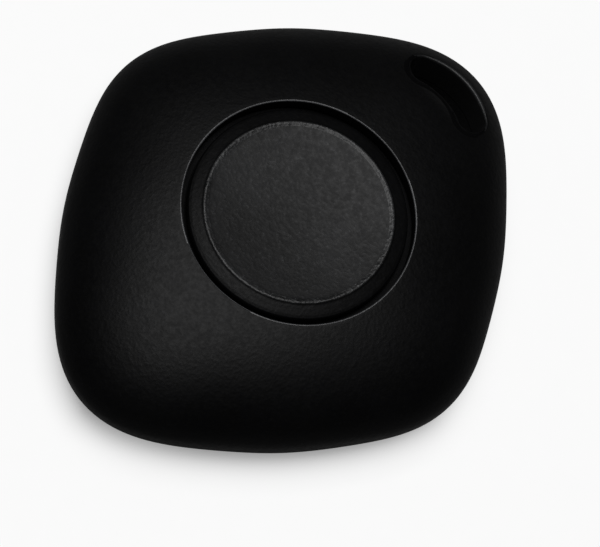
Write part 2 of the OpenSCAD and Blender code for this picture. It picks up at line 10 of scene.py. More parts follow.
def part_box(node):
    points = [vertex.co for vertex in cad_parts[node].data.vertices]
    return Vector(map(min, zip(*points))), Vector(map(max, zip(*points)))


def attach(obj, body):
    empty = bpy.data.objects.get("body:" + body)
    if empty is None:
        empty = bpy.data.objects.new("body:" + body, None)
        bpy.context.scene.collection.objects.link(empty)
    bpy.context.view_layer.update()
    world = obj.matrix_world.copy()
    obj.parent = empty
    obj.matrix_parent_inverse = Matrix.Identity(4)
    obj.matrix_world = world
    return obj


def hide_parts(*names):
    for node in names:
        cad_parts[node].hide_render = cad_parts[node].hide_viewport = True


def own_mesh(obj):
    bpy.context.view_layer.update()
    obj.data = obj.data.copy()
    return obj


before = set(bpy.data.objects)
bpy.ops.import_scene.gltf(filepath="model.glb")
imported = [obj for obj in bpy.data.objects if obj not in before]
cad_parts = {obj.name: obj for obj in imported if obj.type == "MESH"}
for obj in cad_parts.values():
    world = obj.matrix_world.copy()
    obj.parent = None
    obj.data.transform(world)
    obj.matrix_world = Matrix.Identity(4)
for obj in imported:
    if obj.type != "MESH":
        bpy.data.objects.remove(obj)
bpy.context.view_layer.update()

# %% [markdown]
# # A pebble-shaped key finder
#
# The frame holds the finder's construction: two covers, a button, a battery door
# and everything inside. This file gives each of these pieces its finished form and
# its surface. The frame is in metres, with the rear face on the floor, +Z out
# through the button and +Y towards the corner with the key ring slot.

MM = 0.001

# %% [markdown]
# ## The finder's sizes
#
# The sizes that shape the visible skins are named once here, in millimetres. They
# could be read off the boxes of the nodes, but the curve of a dome can't, so the
# same short list as in the construction is kept.

# %% Sizes of the body
BODY_L, BODY_W, SIDE_W = 46.7, 40.6, 38.5
WAIST, DOME_H, SEAM = 4.5, 6.56, 3.3
DOME_POWER, REAR_POWER = 2.13, 2.3
LEAN, CORNER = 0.09, 0.15
WALL, HOLE_R, FOOT_R = 1.4, 10.0, 14.0
HALF_L, HALF_W, HALF_S = BODY_L / 2, BODY_W / 2, SIDE_W / 2
WAVE_2 = (HALF_L - HALF_W) / 2 / (1 + LEAN)
WAVE_4 = ((HALF_L + HALF_W) / 2 - HALF_S) / 2
MEAN_R = ((HALF_L + HALF_W) / 2 + HALF_S) / 2 - CORNER * WAVE_4
HUB = HOLE_R / MEAN_R

# %% [markdown]
# ## The pebble's skin
#
# Seen from above, the body is a rhombus with round corners. It could be drawn as a
# spline, but two cosine waves on a circle give the same outline in one line, and it
# is smooth at every point. The dome over it is a superellipse, whose plan stays
# round at the button hole and grows into the full outline at the widest line.

# %% Skin functions
def outline_r(a):
    """Radius of the widest line at angle a."""
    return (MEAN_R - WAVE_2 * (np.cos(2 * a) + LEAN * np.cos(6 * a))
            + WAVE_4 * (np.cos(4 * a) + CORNER * np.cos(8 * a)))


def dome_r(a, share, inset=0.0):
    """Radius of the dome's plan at angle a, where share is 1 at the widest line."""
    hub = HOLE_R / (MEAN_R - inset)
    outer = HOLE_R + (share - hub) / (1 - hub) * (outline_r(a) - inset - HOLE_R)
    return np.where(share <= hub, share * (MEAN_R - inset), outer)


def rear_r(a, share, inset=0.0):
    foot = FOOT_R - inset / 2
    return foot + share * (outline_r(a) - inset - foot)


def dome_height(x, y):
    """Height of the outer dome over a point of the plan."""
    r, a = np.hypot(x, y), np.arctan2(y, x)
    share = np.where(r <= HOLE_R, r / MEAN_R,
                     HUB + (r - HOLE_R) / (outline_r(a) - HOLE_R) * (1 - HUB))
    share = np.clip(share, 0, 1)
    return WAIST + DOME_H * (1 - share ** DOME_POWER) ** (1 / DOME_POWER)


def level_ring(r, angles, z):
    return np.column_stack([r * np.cos(angles), r * np.sin(angles), np.full(len(angles), z)])


def dome_ring(s, angles, inset=0.0):
    """A ring of the dome. s is 0 at the widest line and pi / 2 at the crown."""
    z = WAIST + (DOME_H - inset) * math.sin(s) ** (2 / DOME_POWER)
    return level_ring(dome_r(angles, math.cos(s) ** (2 / DOME_POWER), inset), angles, z)


def rear_ring(s, angles, inset=0.0):
    """A ring of the rear edge. s is 0 at the widest line and pi / 2 at the rear face."""
    z = WAIST - (WAIST - inset) * math.sin(s) ** (2 / REAR_POWER)
    return level_ring(rear_r(angles, max(math.cos(s), 0) ** (2 / REAR_POWER), inset), angles, z)


def rear_s(z, inset=0.0):
    """The value of s where the rear edge's skin crosses height z."""
    return math.asin(((WAIST - z) / (WAIST - inset)) ** (REAR_POWER / 2))


RIM_Z = float(dome_height(HOLE_R, 0.0))
print(f"rim of the button hole at {RIM_Z:.2f} mm")

# %% [markdown]
# ## Turning point lists into pieces
#
# Every piece below is made as a list of points and faces. Modifiers would do much of
# this by hand work, but points from formulas stay exact, so a lid meets its seat.
# The first helpers make a mesh object in metres. Its faces are shaded smooth, apart
# from edges sharper than a limit.

# %% Mesh helpers
def new_object(name, data):
    obj = bpy.data.objects.new(name, data)
    bpy.context.scene.collection.objects.link(obj)
    return obj


def new_mesh(name, points, faces, scale=MM):
    mesh = bpy.data.meshes.new(name)
    mesh.from_pydata([tuple(float(c) * scale for c in p) for p in points], [], faces)
    mesh.validate()
    return new_object(name, mesh)


def object_from(bm, name):
    mesh = bpy.data.meshes.new(name)
    bm.to_mesh(mesh)
    bm.free()
    return new_object(name, mesh)


def tidy(obj, smooth_angle=35):
    """Welds doubled points, turns all faces outwards and shades by angle."""
    bm = bmesh.new()
    bm.from_mesh(obj.data)
    bmesh.ops.remove_doubles(bm, verts=bm.verts, dist=1e-7)
    bmesh.ops.recalc_face_normals(bm, faces=bm.faces)
    bm.to_mesh(obj.data)
    bm.free()
    obj.data.shade_smooth()
    obj.data.set_sharp_from_angle(angle=math.radians(smooth_angle))
    return obj


def bridge(rings):
    """Faces between closed rings of equal counts, given as index lists."""
    return [(low[i - 1], low[i], high[i], high[i - 1])
            for low, high in zip(rings[:-1], rings[1:])
            for i in [*range(1, len(low)), 0]]


def loft(name, rings):
    """A closed solid through rings of points, capped at both ends."""
    n = len(rings[0])
    rows = [list(range(j * n, (j + 1) * n)) for j in range(len(rings))]
    faces = bridge(rows) + [tuple(reversed(rows[0])), tuple(rows[-1])]
    return new_mesh(name, np.vstack(rings), faces)


def combine(obj, others, operation):
    """Cuts or joins closed meshes, and drops all but the first."""
    for other in others:
        m = obj.modifiers.new("b", "BOOLEAN")
        m.operation, m.solver, m.object = operation, "MANIFOLD", other
        bpy.context.view_layer.update()
        held = obj.evaluated_get(bpy.context.evaluated_depsgraph_get())
        mesh = bpy.data.meshes.new_from_object(held)
        obj.modifiers.clear()
        obj.data = mesh
        bpy.data.objects.remove(other)
    return obj


def cut(obj, *others):
    return combine(obj, others, "DIFFERENCE")


def add(obj, *others):
    return combine(obj, others, "UNION")


def open_edges(obj):
    """How many edges don't join exactly two faces. A closed mesh has none."""
    bm = bmesh.new()
    bm.from_mesh(obj.data)
    bad = sum(1 for e in bm.edges if len(e.link_faces) != 2)
    bm.free()
    return bad


def full_circle(count):
    return np.linspace(0, 2 * math.pi, count, endpoint=False)


# %% [markdown]
# Turned pieces come from a profile of radius and height that runs from the axis out
# and back to the axis, or round a ring's section. Corners of a profile are rounded
# first, because a moulded or pressed edge is never dead sharp and the small round
# catches the light.

# %% Lathe and profile helpers
def rounded(profile, radii, steps=4):
    """The closed profile with each corner rounded by its own radius."""
    out = []
    n = len(profile)
    for i, p in enumerate(profile):
        p, before, after = (np.array(q, float) for q in
                            (p, profile[i - 1], profile[(i + 1) % n]))
        radius = radii[i] if hasattr(radii, "__len__") else radii
        u, v = before - p, after - p
        lu, lv = np.linalg.norm(u), np.linalg.norm(v)
        u, v = u / lu, v / lv
        half = math.acos(max(-1, min(1, float(u @ v)))) / 2
        if radius <= 0 or half > math.pi / 2 - 0.02:
            out.append(p)
            continue
        reach = min(radius / math.tan(half), lu * 0.49, lv * 0.49)
        radius = reach * math.tan(half)
        centre = p + (u + v) / np.linalg.norm(u + v) * radius / math.sin(half)
        a, b = p + u * reach - centre, p + v * reach - centre
        for k in range(steps + 1):
            q = a + (b - a) * k / steps
            out.append(centre + q / np.linalg.norm(q) * radius)
    return [tuple(q) for q in out]


def lathe(name, profile, count=96, at=(0.0, 0.0)):
    """Turns a closed profile of (radius, height) round a vertical axis."""
    points, rows, faces = [], [], []
    for r, z in profile:
        if abs(r) < 1e-9:
            rows.append([len(points)] * count)
            points.append((at[0], at[1], z))
        else:
            rows.append(list(range(len(points), len(points) + count)))
            points += [(at[0] + r * math.cos(a), at[1] + r * math.sin(a), z)
                       for a in full_circle(count)]
    for low, high in zip(rows, rows[1:] + rows[:1]):
        for i in range(count):
            k = (i + 1) % count
            face = [low[i], low[k], high[k], high[i]]
            face = [v for j, v in enumerate(face) if v not in face[:j]]
            if len(face) > 2:
                faces.append(face)
    return new_mesh(name, points, faces)


def offset_in(outline, distance):
    """Moves each point of an anticlockwise outline inwards."""
    def normals(along):
        return np.column_stack([-along[:, 1], along[:, 0]]) / np.linalg.norm(along, axis=1)[:, None]
    n1 = normals(outline - np.roll(outline, 1, 0))
    both = n1 + normals(np.roll(outline, -1, 0) - outline)
    both /= np.maximum((both * n1).sum(1), 0.3)[:, None]
    return outline + both * distance


def prism(name, outline, z0, z1, edge=0.0):
    """Extrudes a plan outline, with a small break along both of its rims."""
    outline = np.array(outline, float)
    rings = [(outline, z0 + edge), (outline, z1 - edge)]
    if edge:
        inner = offset_in(outline, edge)
        rings = [(inner, z0), *rings, (inner, z1)]
    return loft(name, [np.column_stack([o, np.full(len(o), z)]) for o, z in rings])


def section(r_in, r_out, z0, z1):
    """The profile of a plain ring, or of a disc where r_in is 0."""
    return [(r_in, z0), (r_out, z0), (r_out, z1), (r_in, z1)]


def lift(z, profile):
    return [(r, z + high) for r, high in profile]


def rod(r, z0, z1, count=48, at=(0, 0)):
    return tidy(lathe("rod", section(0, r, z0, z1), count, at))


def brick(x, y, z, turn=0.0):
    """A box from its ranges in x, y and z, turned about the finder's axis."""
    c, s = math.cos(turn), math.sin(turn)
    plan = [(x[0], y[0]), (x[1], y[0]), (x[1], y[1]), (x[0], y[1])]
    return tidy(prism("brick", [(c * u - s * v, s * u + c * v) for u, v in plan], *z))


def finish_piece(obj, node, slot, *materials, body="case", smooth_angle=35):
    """Stands for its node, rides on its body and takes its materials. The slot is not used."""
    tidy(obj, smooth_angle)
    while len(obj.data.materials) < len(materials):
        obj.data.materials.append(None)
    for i, m in enumerate(materials):
        obj.data.materials[i] = m
    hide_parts(node)
    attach(obj, body)
    print(f"{obj.name}: {len(obj.data.polygons)} faces")
    return obj


# %% [markdown]
# ## The key ring slot
#
# A slot bent like a kidney runs through the far corner of both covers. On its inner
# side the dome rolls off in a soft scoop, so a cord or a split ring can be threaded
# with a thumb, and on its outer side the edge is crisp. A boolean cut would leave the
# same sharp edge all round, so the slot's edge is built from rings of points that
# keep their own distance from the slot, with a small round outside and a wide one
# inside. The scoop's depth grows with the square of the way to the slot, which has
# no crease at its start.

# %% Slot functions
SLOT_W, BEND_R, SWEEP = 2.4, 6.85, math.radians(34)
BRIDGE, SLOT_WALL = 2.2, 1.0
SLOT_R = BEND_R - SLOT_W / 2
CORNER_Y = HALF_L - BRIDGE - BEND_R
SLOT_END = np.array([SLOT_R * math.sin(SWEEP), SLOT_R * math.cos(SWEEP)])
SCOOP_DEPTH, SCOOP_REACH, SCOOP_HALF, CRESCENT_HALF = 0.9, 3.0, 4.4, 4.2


def smoothstep(t):
    t = np.clip(t, 0, 1)
    return t * t * (3 - 2 * t)


def slot_distance(x, y):
    """Distance of a point of the plan from the slot's edge, above 0 outside it."""
    qx, qy = np.abs(x), y - CORNER_Y
    along = np.abs(np.hypot(qx, qy) - SLOT_R)
    end = np.hypot(qx - SLOT_END[0], qy - SLOT_END[1])
    return np.where(np.arctan2(qx, qy) <= SWEEP, along, end) - SLOT_W / 2


def slot_inside(x, y):
    """1 on the slot's inner side, towards the button, and 0 on its outer side."""
    return smoothstep((BEND_R - np.hypot(x, y - CORNER_Y)) / SLOT_W)


def slot_outline(arc_steps=34, end_steps=14):
    """Points on the slot's edge, anticlockwise, and their outward normals."""
    points, normals = [], []
    turns = np.linspace(SWEEP, -SWEEP, arc_steps + 1)

    def arc(r, turns, way):
        for t in turns:
            points.append((r * math.sin(t), r * math.cos(t)))
            normals.append((way * math.sin(t), way * math.cos(t)))

    def end(side, first):
        for k in range(end_steps):
            a = first + math.pi * k / end_steps
            n = np.array([math.cos(a), math.sin(a)])
            points.append(tuple(SLOT_END * [side, 1] + n * SLOT_W / 2))
            normals.append(tuple(n))

    arc(BEND_R, turns[:-1], 1)
    end(-1, math.pi / 2 + SWEEP)
    arc(BEND_R - SLOT_W, turns[::-1][:-1], -1)
    end(1, -SWEEP - math.pi / 2)
    return np.array(points) + [0, CORNER_Y], np.array(normals)


def scoop(x, y):
    """How far the scoop sinks below the dome."""
    way = np.clip(1 - slot_distance(x, y) / SCOOP_REACH, 0, 1)
    near = 1 - smoothstep(np.abs(x) / SCOOP_HALF)
    return SCOOP_DEPTH * way ** 2 * near * slot_inside(x, y)


def crescent(x):
    """The outer edge's round is widest in the middle and tapers to the slot's ends."""
    return np.clip(1 - (x / CRESCENT_HALF) ** 2, 0, 1)


def front_height(x, y):
    return dome_height(x, y) - scoop(x, y)


SLOT_EDGE, SLOT_NORMAL = slot_outline()
SLOT_SIDE = slot_inside(*SLOT_EDGE.T)
print("points round the slot:", len(SLOT_EDGE), "error:",
      round(float(np.abs(slot_distance(*SLOT_EDGE.T)).max()), 6))

# %% [markdown]
# ## Front cover: the outer skin
#
# The skin is a net of rings round the button hole, out to the widest line and down
# to the seam. Where the net meets the slot, its cells are taken out, and a band of
# rings round the slot's edge takes their place. The thin strip between the two nets
# is filled by a Delaunay triangulation, which copes with any two borders.

# %% Nets of the skin
TURNS = full_circle(240)
HOLE_EDGE, SEAM_EDGE = 0.12, 0.07


def within(xy, border):
    """Whether each point of the plan lies inside a closed border."""
    x, y = xy[:, :1], xy[:, 1:]
    (x0, y0), (x1, y1) = border.T, np.roll(border, -1, 0).T
    level = (y0 > y) != (y1 > y)
    rise = np.where(y1 == y0, 1, y1 - y0)
    return (level & (x < x0 + (y - y0) / rise * (x1 - x0))).sum(1) % 2 == 1


def fill_between(points, outer, inner):
    """Triangles between an outer and an inner closed loop of point indices."""
    used = outer + inner
    place = {v: i for i, v in enumerate(used)}
    edges = [(place[a], place[b]) for loop in (outer, inner)
             for a, b in zip(loop, loop[1:] + loop[:1])]
    plan = np.array([points[i][:2] for i in used])
    verts, _, faces, origin, _, _ = delaunay_2d_cdt([Vector(q) for q in plan], edges, [], 0, 1e-7)
    assert all(len(o) == 1 for o in origin), "the borders cross"
    corners = np.array([[verts[v] for v in f] for f in faces])
    middles, (u, v) = corners.mean(1), np.moveaxis(corners[:, 1:] - corners[:, :1], 1, 0)
    wanted = within(middles, plan[:len(outer)]) & ~within(middles, plan[len(outer):])
    wanted &= np.abs(u[:, 0] * v[:, 1] - u[:, 1] * v[:, 0]) > 1e-5
    return [tuple(used[origin[v][0]] for v in f) for f, w in zip(faces, wanted) if w]


def add_ring(points, ring):
    points.extend(map(tuple, ring))
    return list(range(len(points) - len(ring), len(points)))


def plan_ring(points, x, y, z):
    """A ring over a line of the plan, where z is a height or a height function."""
    return add_ring(points, np.column_stack([x, y, z(x, y) if callable(z) else 0 * x + z]))


def round_ring(points, r, z):
    return plan_ring(points, r * np.cos(TURNS), r * np.sin(TURNS), z)


def net_with_slot(points, net, height, up, edges, bands):
    """Faces of the net's cells, with the slot's rounded edge in place of those near
    it. The solid lies below the skin where up is 1, and above it where up is -1. The
    edge's round and the band that holds it each have an outer and an inner width.
    Also gives the ring where the slot's wall ends at the seam."""
    edge = edges[0] + (edges[1] - edges[0]) * SLOT_SIDE
    if up > 0:
        edge = edge + 0.2 * crescent(SLOT_EDGE[:, 0]) * (1 - SLOT_SIDE)
    reach = bands[0] + (bands[1] - bands[0]) * SLOT_SIDE
    grid = np.array(points)[np.array(net)][..., :2]
    band = SLOT_EDGE + SLOT_NORMAL * reach[:, None]
    away = np.linalg.norm(grid[:, :, None] - band, axis=3)
    near = (away.min(2) < 0.22) | (
        slot_distance(*np.moveaxis(grid, 2, 0)) < reach[away.argmin(2)])
    gone = near | np.roll(near, -1, 1)
    gone = gone[:-1] | gone[1:]
    faces, removed = [], set()
    for i, j in np.ndindex(gone.shape):
        k = (j + 1) % len(TURNS)
        cell = (net[i][j], net[i][k], net[i + 1][k], net[i + 1][j])
        if gone[i, j]:
            removed.update(zip(cell, cell[1:] + cell[:1]))
        else:
            faces.append(cell)
    after = {a: b for a, b in removed if (b, a) not in removed}
    loop = [min(after)]
    while after[loop[-1]] != loop[0]:
        loop.append(after[loop[-1]])

    def slot_ring(out, z):
        xy = SLOT_EDGE + SLOT_NORMAL * (out + 0 * edge)[:, None]
        return plan_ring(points, *xy.T, z)

    rows = [slot_ring(SEAM_EDGE, SEAM), slot_ring(0, SEAM + up * SEAM_EDGE)]
    for k in range(9):
        t = math.pi / 2 * (1 - k / 8)
        drop = edge * (1 - math.cos(t))
        rows.append(slot_ring(edge * (1 - math.sin(t)), lambda x, y: height(x, y) - up * drop))
    rows += [slot_ring(edge + (reach - edge) * k / 3, height) for k in (1, 2, 3)]
    return faces + bridge(rows) + fill_between(points, loop, rows[-1]), rows[0]


def seam_rings(points, first, up):
    """Rings from the widest line, or from above the rear face, to the seam's break."""
    low = rear_s(SEAM + up * SEAM_EDGE)
    rings = [add_ring(points, rear_ring(first + (low - first) * k / 4, TURNS))
             for k in (1, 2, 3, 4)]
    ring = rear_ring(rear_s(SEAM), TURNS)
    ring[:, :2] *= 1 - SEAM_EDGE / np.hypot(ring[:, 0], ring[:, 1])[:, None]
    return rings + [add_ring(points, ring)]


def front_skin():
    points = []
    # Hole: the wall, then the rounded rim
    rim = [round_ring(points, HOLE_R, z) for z in (WAIST + 0.5, RIM_Z - 2, RIM_Z - 0.8)]
    for k in range(6):
        t = math.pi / 2 * (1 - k / 6)
        drop = HOLE_EDGE * (1 - math.cos(t))
        rim.append(round_ring(points, HOLE_R + HOLE_EDGE * (1 - math.sin(t)),
                              lambda x, y: dome_height(x, y) - drop))
    # Dome: rings that close up towards the steep widest line
    shares = np.concatenate([np.linspace(HUB + 0.007, 0.93, 26), [
        0.945, 0.958, 0.969, 0.978, 0.986, 0.992, 0.9965, 0.999, 1.0]])
    net = [round_ring(points, dome_r(TURNS, share), front_height) for share in shares]
    faces, slot_low = net_with_slot(points, net, front_height, 1, (0.3, 1.1), (0.95, 1.9))
    side = [net[-1]] + seam_rings(points, 0, 1)
    faces += bridge(rim + net[:1]) + [tuple(rim[0])] + bridge(side)
    faces += fill_between(points, side[-1], slot_low)
    return tidy(new_mesh("front_cover_skin", points, faces))


front = front_skin()
print("front skin:", len(front.data.polygons), "faces, open edges:", open_edges(front))

# %% [markdown]
# ## Front cover: the inside
#
# Inside, a moulded cover is its own skin drawn in by the wall, with a guide ring
# for the button, bosses for the board's screws and a wall round the slot. These
# forms meet the wall at odd angles, so here booleans are the right tool: the hollow
# is built as one solid, the ring, the bosses and the slot's wall are cut out of it,
# and what remains is taken from the skin.

# %% Places that the covers share
def box_mm(node):
    """Lowest and highest corner of a node, in millimetres."""
    return tuple(np.array(corner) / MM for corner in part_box(node))


def heights(node):
    low, high = box_mm(node)
    return low[2], high[2]


BOARD_Z, BOARD_TOP = heights("circuit_board")
TRAVEL, RUN = 0.3, 0.1
FLANGE_R, FLANGE_Z = 10.6, heights("button")[0]
FLANGE_TOP = FLANGE_Z + 0.6
GUIDE_R, GUIDE_OUT, GUIDE_Z = FLANGE_R + RUN, FLANGE_R + RUN + 0.9, FLANGE_Z - TRAVEL - RUN
KEY_TURNS, KEY_W, KEY_L, KEY_T = [math.radians(a) for a in (45, 165, 285)], 2.0, 0.7, 0.35
LIP_IN, LIP_T, LIP_H, LIP_GAP = 1.05, 0.55, 0.6, 0.05
BOSS_R, BOSS_HOLE_R, BOSS_IN, CROWN_SHARE = 1.5, 0.725, 11.8, 0.35


def inner_r(a, z):
    """Inner radius of the dome's wall at angle a and height z."""
    share = (1 - ((z - WAIST) / (DOME_H - WALL)) ** DOME_POWER) ** (1 / DOME_POWER)
    return float(dome_r(a, share, WALL))


SCREWS = [(0.5 * (BOSS_IN + inner_r(a, BOARD_TOP)) * math.cos(a),
           0.5 * (BOSS_IN + inner_r(a, BOARD_TOP)) * math.sin(a))
          for a in map(math.radians, (62, 184, 356))]
print("screws at", [(round(x, 2), round(y, 2)) for x, y in SCREWS])


# %% Slot wall, lip and front cover
def slot_bar(grow, z0, z1):
    return tidy(prism("bar", SLOT_EDGE + SLOT_NORMAL * grow, z0, z1))


def lip(gap, z0, z1):
    """The locating lip, or with a gap the groove that it sits in."""
    ring = rear_ring(rear_s(SEAM), full_circle(180))[:, :2]
    away = np.hypot(*ring.T)[:, None]
    obj = tidy(prism("lip", ring * (1 - (LIP_IN - gap) / away), z0, z1))
    hole = tidy(prism("core", ring * (1 - (LIP_IN + LIP_T + gap) / away), z0 - 1, z1 + 1))
    slot_room = BEND_R + SLOT_WALL + 0.03 - gap
    return cut(obj, hole, rod(slot_room, z0 - 1, z1 + 1, 96, (0, CORNER_Y)))


def make_front_cover(shell):
    ring, top = full_circle(180), DOME_H + WAIST
    crown, low = math.acos(CROWN_SHARE ** (DOME_POWER / 2)), rear_s(SEAM - 1, WALL)
    hollow = tidy(loft("hollow", [rear_ring(low * k / 4, ring, WALL) for k in (4, 3, 2, 1)]
                       + [dome_ring(crown * k / 20, ring, WALL) for k in range(21)]))
    guide = tidy(lathe("guide", section(GUIDE_R, GUIDE_OUT, GUIDE_Z, top), 148))
    cut(hollow, guide, *(rod(BOSS_R, BOARD_TOP, top, at=at) for at in SCREWS),
        slot_bar(SLOT_WALL, SEAM - 2, top))
    cut(shell, hollow,
        *(rod(BOSS_HOLE_R, BOARD_TOP - 1, BOARD_Z + 3.1, 40, at) for at in SCREWS),
        *(brick((FLANGE_R, GUIDE_OUT + RUN), (-KEY_W / 2 - RUN, KEY_W / 2 + RUN),
                (GUIDE_Z - 1, FLANGE_Z + KEY_T + RUN), a) for a in KEY_TURNS))
    return add(shell, lip(0, SEAM - LIP_H, SEAM + 0.8))


make_front_cover(front)
print("front cover:", len(front.data.polygons), "faces, open edges:", open_edges(front))

# %% [markdown]
# ## Rear cover
#
# The rear cover is the shallow half of the pebble. Its skin is a net like the
# dome's, from the flat foot ring up to the seam. Round cuts take the battery door
# and its bayonet ledge, and five small holes let the sounder's tone out.

# %% Rear cover
DOOR_Z, LUG_TOP = heights("battery_door")
DOOR_R, LEDGE_Z, LEDGE_TOP, LEDGE_R = 12.4, 1.73, 2.43, 11.45
MOUTH_R, MOUTH_EDGE = DOOR_R + RUN, 0.15
LUG_TURNS, LUG_ANGLE, LUG_PLAY, DOOR_TURN, STOP_ANGLE = (90, 210, 330), 22, 3, 30, 5
CASE_W = box_mm("buzzer_case")[1][0]
BUZZER_Y = sum(corner[1] for corner in box_mm("buzzer_case")) / 2
AT_BUZZER = (0, BUZZER_Y)
SOUND_R, SOUND_OUT = (CASE_W + RUN) * 0.8, CASE_W + RUN
SOUND_HOLES, SOUND_PITCH = ((0, 0), (1, 0), (-1, 0), (0, 1), (0, -1)), 1.9


def rear_height(x, y):
    """Height of the rear skin over a point of the plan."""
    r, a = np.hypot(x, y), np.arctan2(y, x)
    share = np.clip((r - FOOT_R) / (outline_r(a) - FOOT_R), 0, 1)
    return WAIST * (1 - (1 - share ** REAR_POWER) ** (1 / REAR_POWER))


def rear_skin():
    points, end = [], 0.955
    net = [round_ring(points, rear_r(TURNS, share), rear_height)
           for share in np.linspace(0.04, end, 15)]
    foot = [round_ring(points, r, 0) for r in (13, FOOT_R)]
    faces, slot_low = net_with_slot(points, net, rear_height, -1, (0.25, 0.3), (0.7, 0.75))
    side = [net[-1]] + seam_rings(points, math.acos(end ** (REAR_POWER / 2)), -1)
    faces += bridge(foot + net[:1]) + [tuple(foot[0])] + bridge(side)
    faces += fill_between(points, side[-1], slot_low)
    return tidy(new_mesh("rear_cover_skin", points, faces))


def sector(r_in, r_out, middle, angle, z0, z1, steps=12):
    """A piece of a ring, centred on an angle in degrees."""
    turns = np.radians(np.linspace(middle - angle / 2, middle + angle / 2, steps + 1))
    plan = [(r * math.cos(a), r * math.sin(a))
            for r, way in ((r_out, turns), (r_in, turns[::-1])) for a in way]
    return tidy(prism("sector", plan, z0, z1))


def make_rear_cover():
    shell, ring = rear_skin(), full_circle(180)
    print("rear skin:", len(shell.data.polygons), "faces, open edges:", open_edges(shell))
    hollow = tidy(loft("hollow", [rear_ring(math.pi / 2 * k / 12, ring, WALL)
                                  for k in range(12, -1, -1)]))
    cut(hollow, rod(MOUTH_R + 0.9, 0, LEDGE_TOP, 120), rod(SOUND_OUT, 0, 2.7, 72, AT_BUZZER),
        slot_bar(SLOT_WALL, -1, WAIST + 1))
    mouth = [(0, -1), (MOUTH_R + MOUTH_EDGE, -1), (MOUTH_R + MOUTH_EDGE, 0),
             (MOUTH_R, MOUTH_EDGE), (MOUTH_R, LEDGE_Z), (LEDGE_R, LEDGE_Z),
             (LEDGE_R, WAIST), (0, WAIST)]
    cut(shell, hollow, tidy(lathe("mouth", mouth, 160)),
        *(sector(LEDGE_R - 1, DOOR_R, a - DOOR_TURN, LUG_ANGLE + LUG_PLAY,
                 LEDGE_Z - 0.5, WAIST) for a in LUG_TURNS),
        rod(SOUND_R, WALL, WAIST, 72, AT_BUZZER),
        *(rod(0.5, -1, 2, 36, (SOUND_PITCH * u, BUZZER_Y + SOUND_PITCH * v))
          for u, v in SOUND_HOLES),
        lip(LIP_GAP, SEAM - LIP_H - LIP_GAP, SEAM + 1))
    half = (LUG_ANGLE + LUG_PLAY + STOP_ANGLE) / 2
    return add(shell, *(sector(LEDGE_R + 0.02, MOUTH_R + 0.7, stop, STOP_ANGLE,
                               LEDGE_Z + 0.02, LEDGE_Z + 1.2, 4)
                        for a in LUG_TURNS for stop in (a + half, a - DOOR_TURN - half - 0.5)))


rear = make_rear_cover()
print("rear cover:", len(rear.data.polygons), "faces, open edges:", open_edges(rear))

# %% [markdown]
# ## Shared surface effects
#
# Nearly all pieces are moulded, rolled or fired, so a few effects are enough. Each
# one is a node group, built once and placed in every material that needs it with
# its own values. A group gives out masks and heights, never a shader.
#
# `spark_grain` is the fine texture that a spark-eroded mould leaves on plastic. It
# could be painted as an image, but noise at a real size in the object's own space
# needs no unwrapping and stays the same from every side.

# %% Node helpers
def add_node(tree, kind, links=None, **settings):
    """A node with its settings, and its inputs linked or set by name or number."""
    node = tree.nodes.new("ShaderNode" + kind)
    for key, value in settings.items():
        setattr(node, key, value)
    for key, value in (links or {}).items():
        if isinstance(value, bpy.types.NodeSocket):
            tree.links.new(value, node.inputs[key])
        else:
            node.inputs[key].default_value = value
    return node


def calc(tree, operation, a, b=0.0):
    return add_node(tree, "Math", {0: a, 1: b}, operation=operation).outputs[0]


def times(tree, a, b):
    return calc(tree, "MULTIPLY", a, b)


def blend(tree, *parts):
    """The sum of values, each times its own share."""
    total = times(tree, *parts[0])
    for value, share in parts[1:]:
        total = calc(tree, "ADD", total, times(tree, value, share))
    return total


def object_place(tree):
    return add_node(tree, "TexCoord").outputs["Object"]


def split_place(tree, place):
    return add_node(tree, "SeparateXYZ", {0: place}).outputs


def noise(tree, place, scale, detail=2.0, roughness=0.5):
    return add_node(tree, "TexNoise", {"Vector": place, "Scale": scale, "Detail": detail,
                                       "Roughness": roughness}).outputs["Fac"]


def ramp(tree, value, low, high, out_low=0.0, out_high=1.0):
    """The value stretched from low..high to out_low..out_high, smooth at both ends."""
    return add_node(tree, "MapRange", {"Value": value, 1: low, 2: high, 3: out_low, 4: out_high},
                    interpolation_type="SMOOTHSTEP").outputs[0]


def new_group(name, **inputs):
    """An empty node group with named float or vector inputs and their default values."""
    group = bpy.data.node_groups.new(name, "ShaderNodeTree")
    for title, default in inputs.items():
        kind = "NodeSocketVector" if hasattr(default, "__len__") else "NodeSocketFloat"
        group.interface.new_socket(title.replace("_", " "), in_out="INPUT",
                                   socket_type=kind).default_value = default
    return group, group.nodes.new("NodeGroupInput").outputs


def give_out(group, **values):
    """Gives the group a named output for each value."""
    for title in values:
        group.interface.new_socket(title, in_out="OUTPUT", socket_type="NodeSocketFloat")
    out = group.nodes.new("NodeGroupOutput")
    for title, value in values.items():
        group.links.new(value, out.inputs[title])
    print("group:", group.name, [s.name for s in group.interface.items_tree])
    return group


# %% Group: spark grain
def make_spark_grain():
    group, given = new_group("spark_grain", Cells_per_mm=4.0, Mottle_mm=6.0)
    place = object_place(group)
    scale = times(group, given["Cells per mm"], 1 / MM)
    fine = noise(group, place, scale, 3.0, 0.6)
    pits = add_node(group, "TexVoronoi", {"Vector": place, "Scale": scale}).outputs["Distance"]
    coarse = noise(group, place, times(group, scale, 0.5), 1.0)
    slow = noise(group, place, calc(group, "DIVIDE", 1 / MM, given["Mottle mm"]))
    return give_out(group, Height=blend(group, (fine, 0.28), (pits, 0.14), (coarse, 0.58)),
                    Fleck=ramp(group, fine, 0.55, 0.75), Mottle=ramp(group, slow, 0.3, 0.7))


SPARK_GRAIN = make_spark_grain()


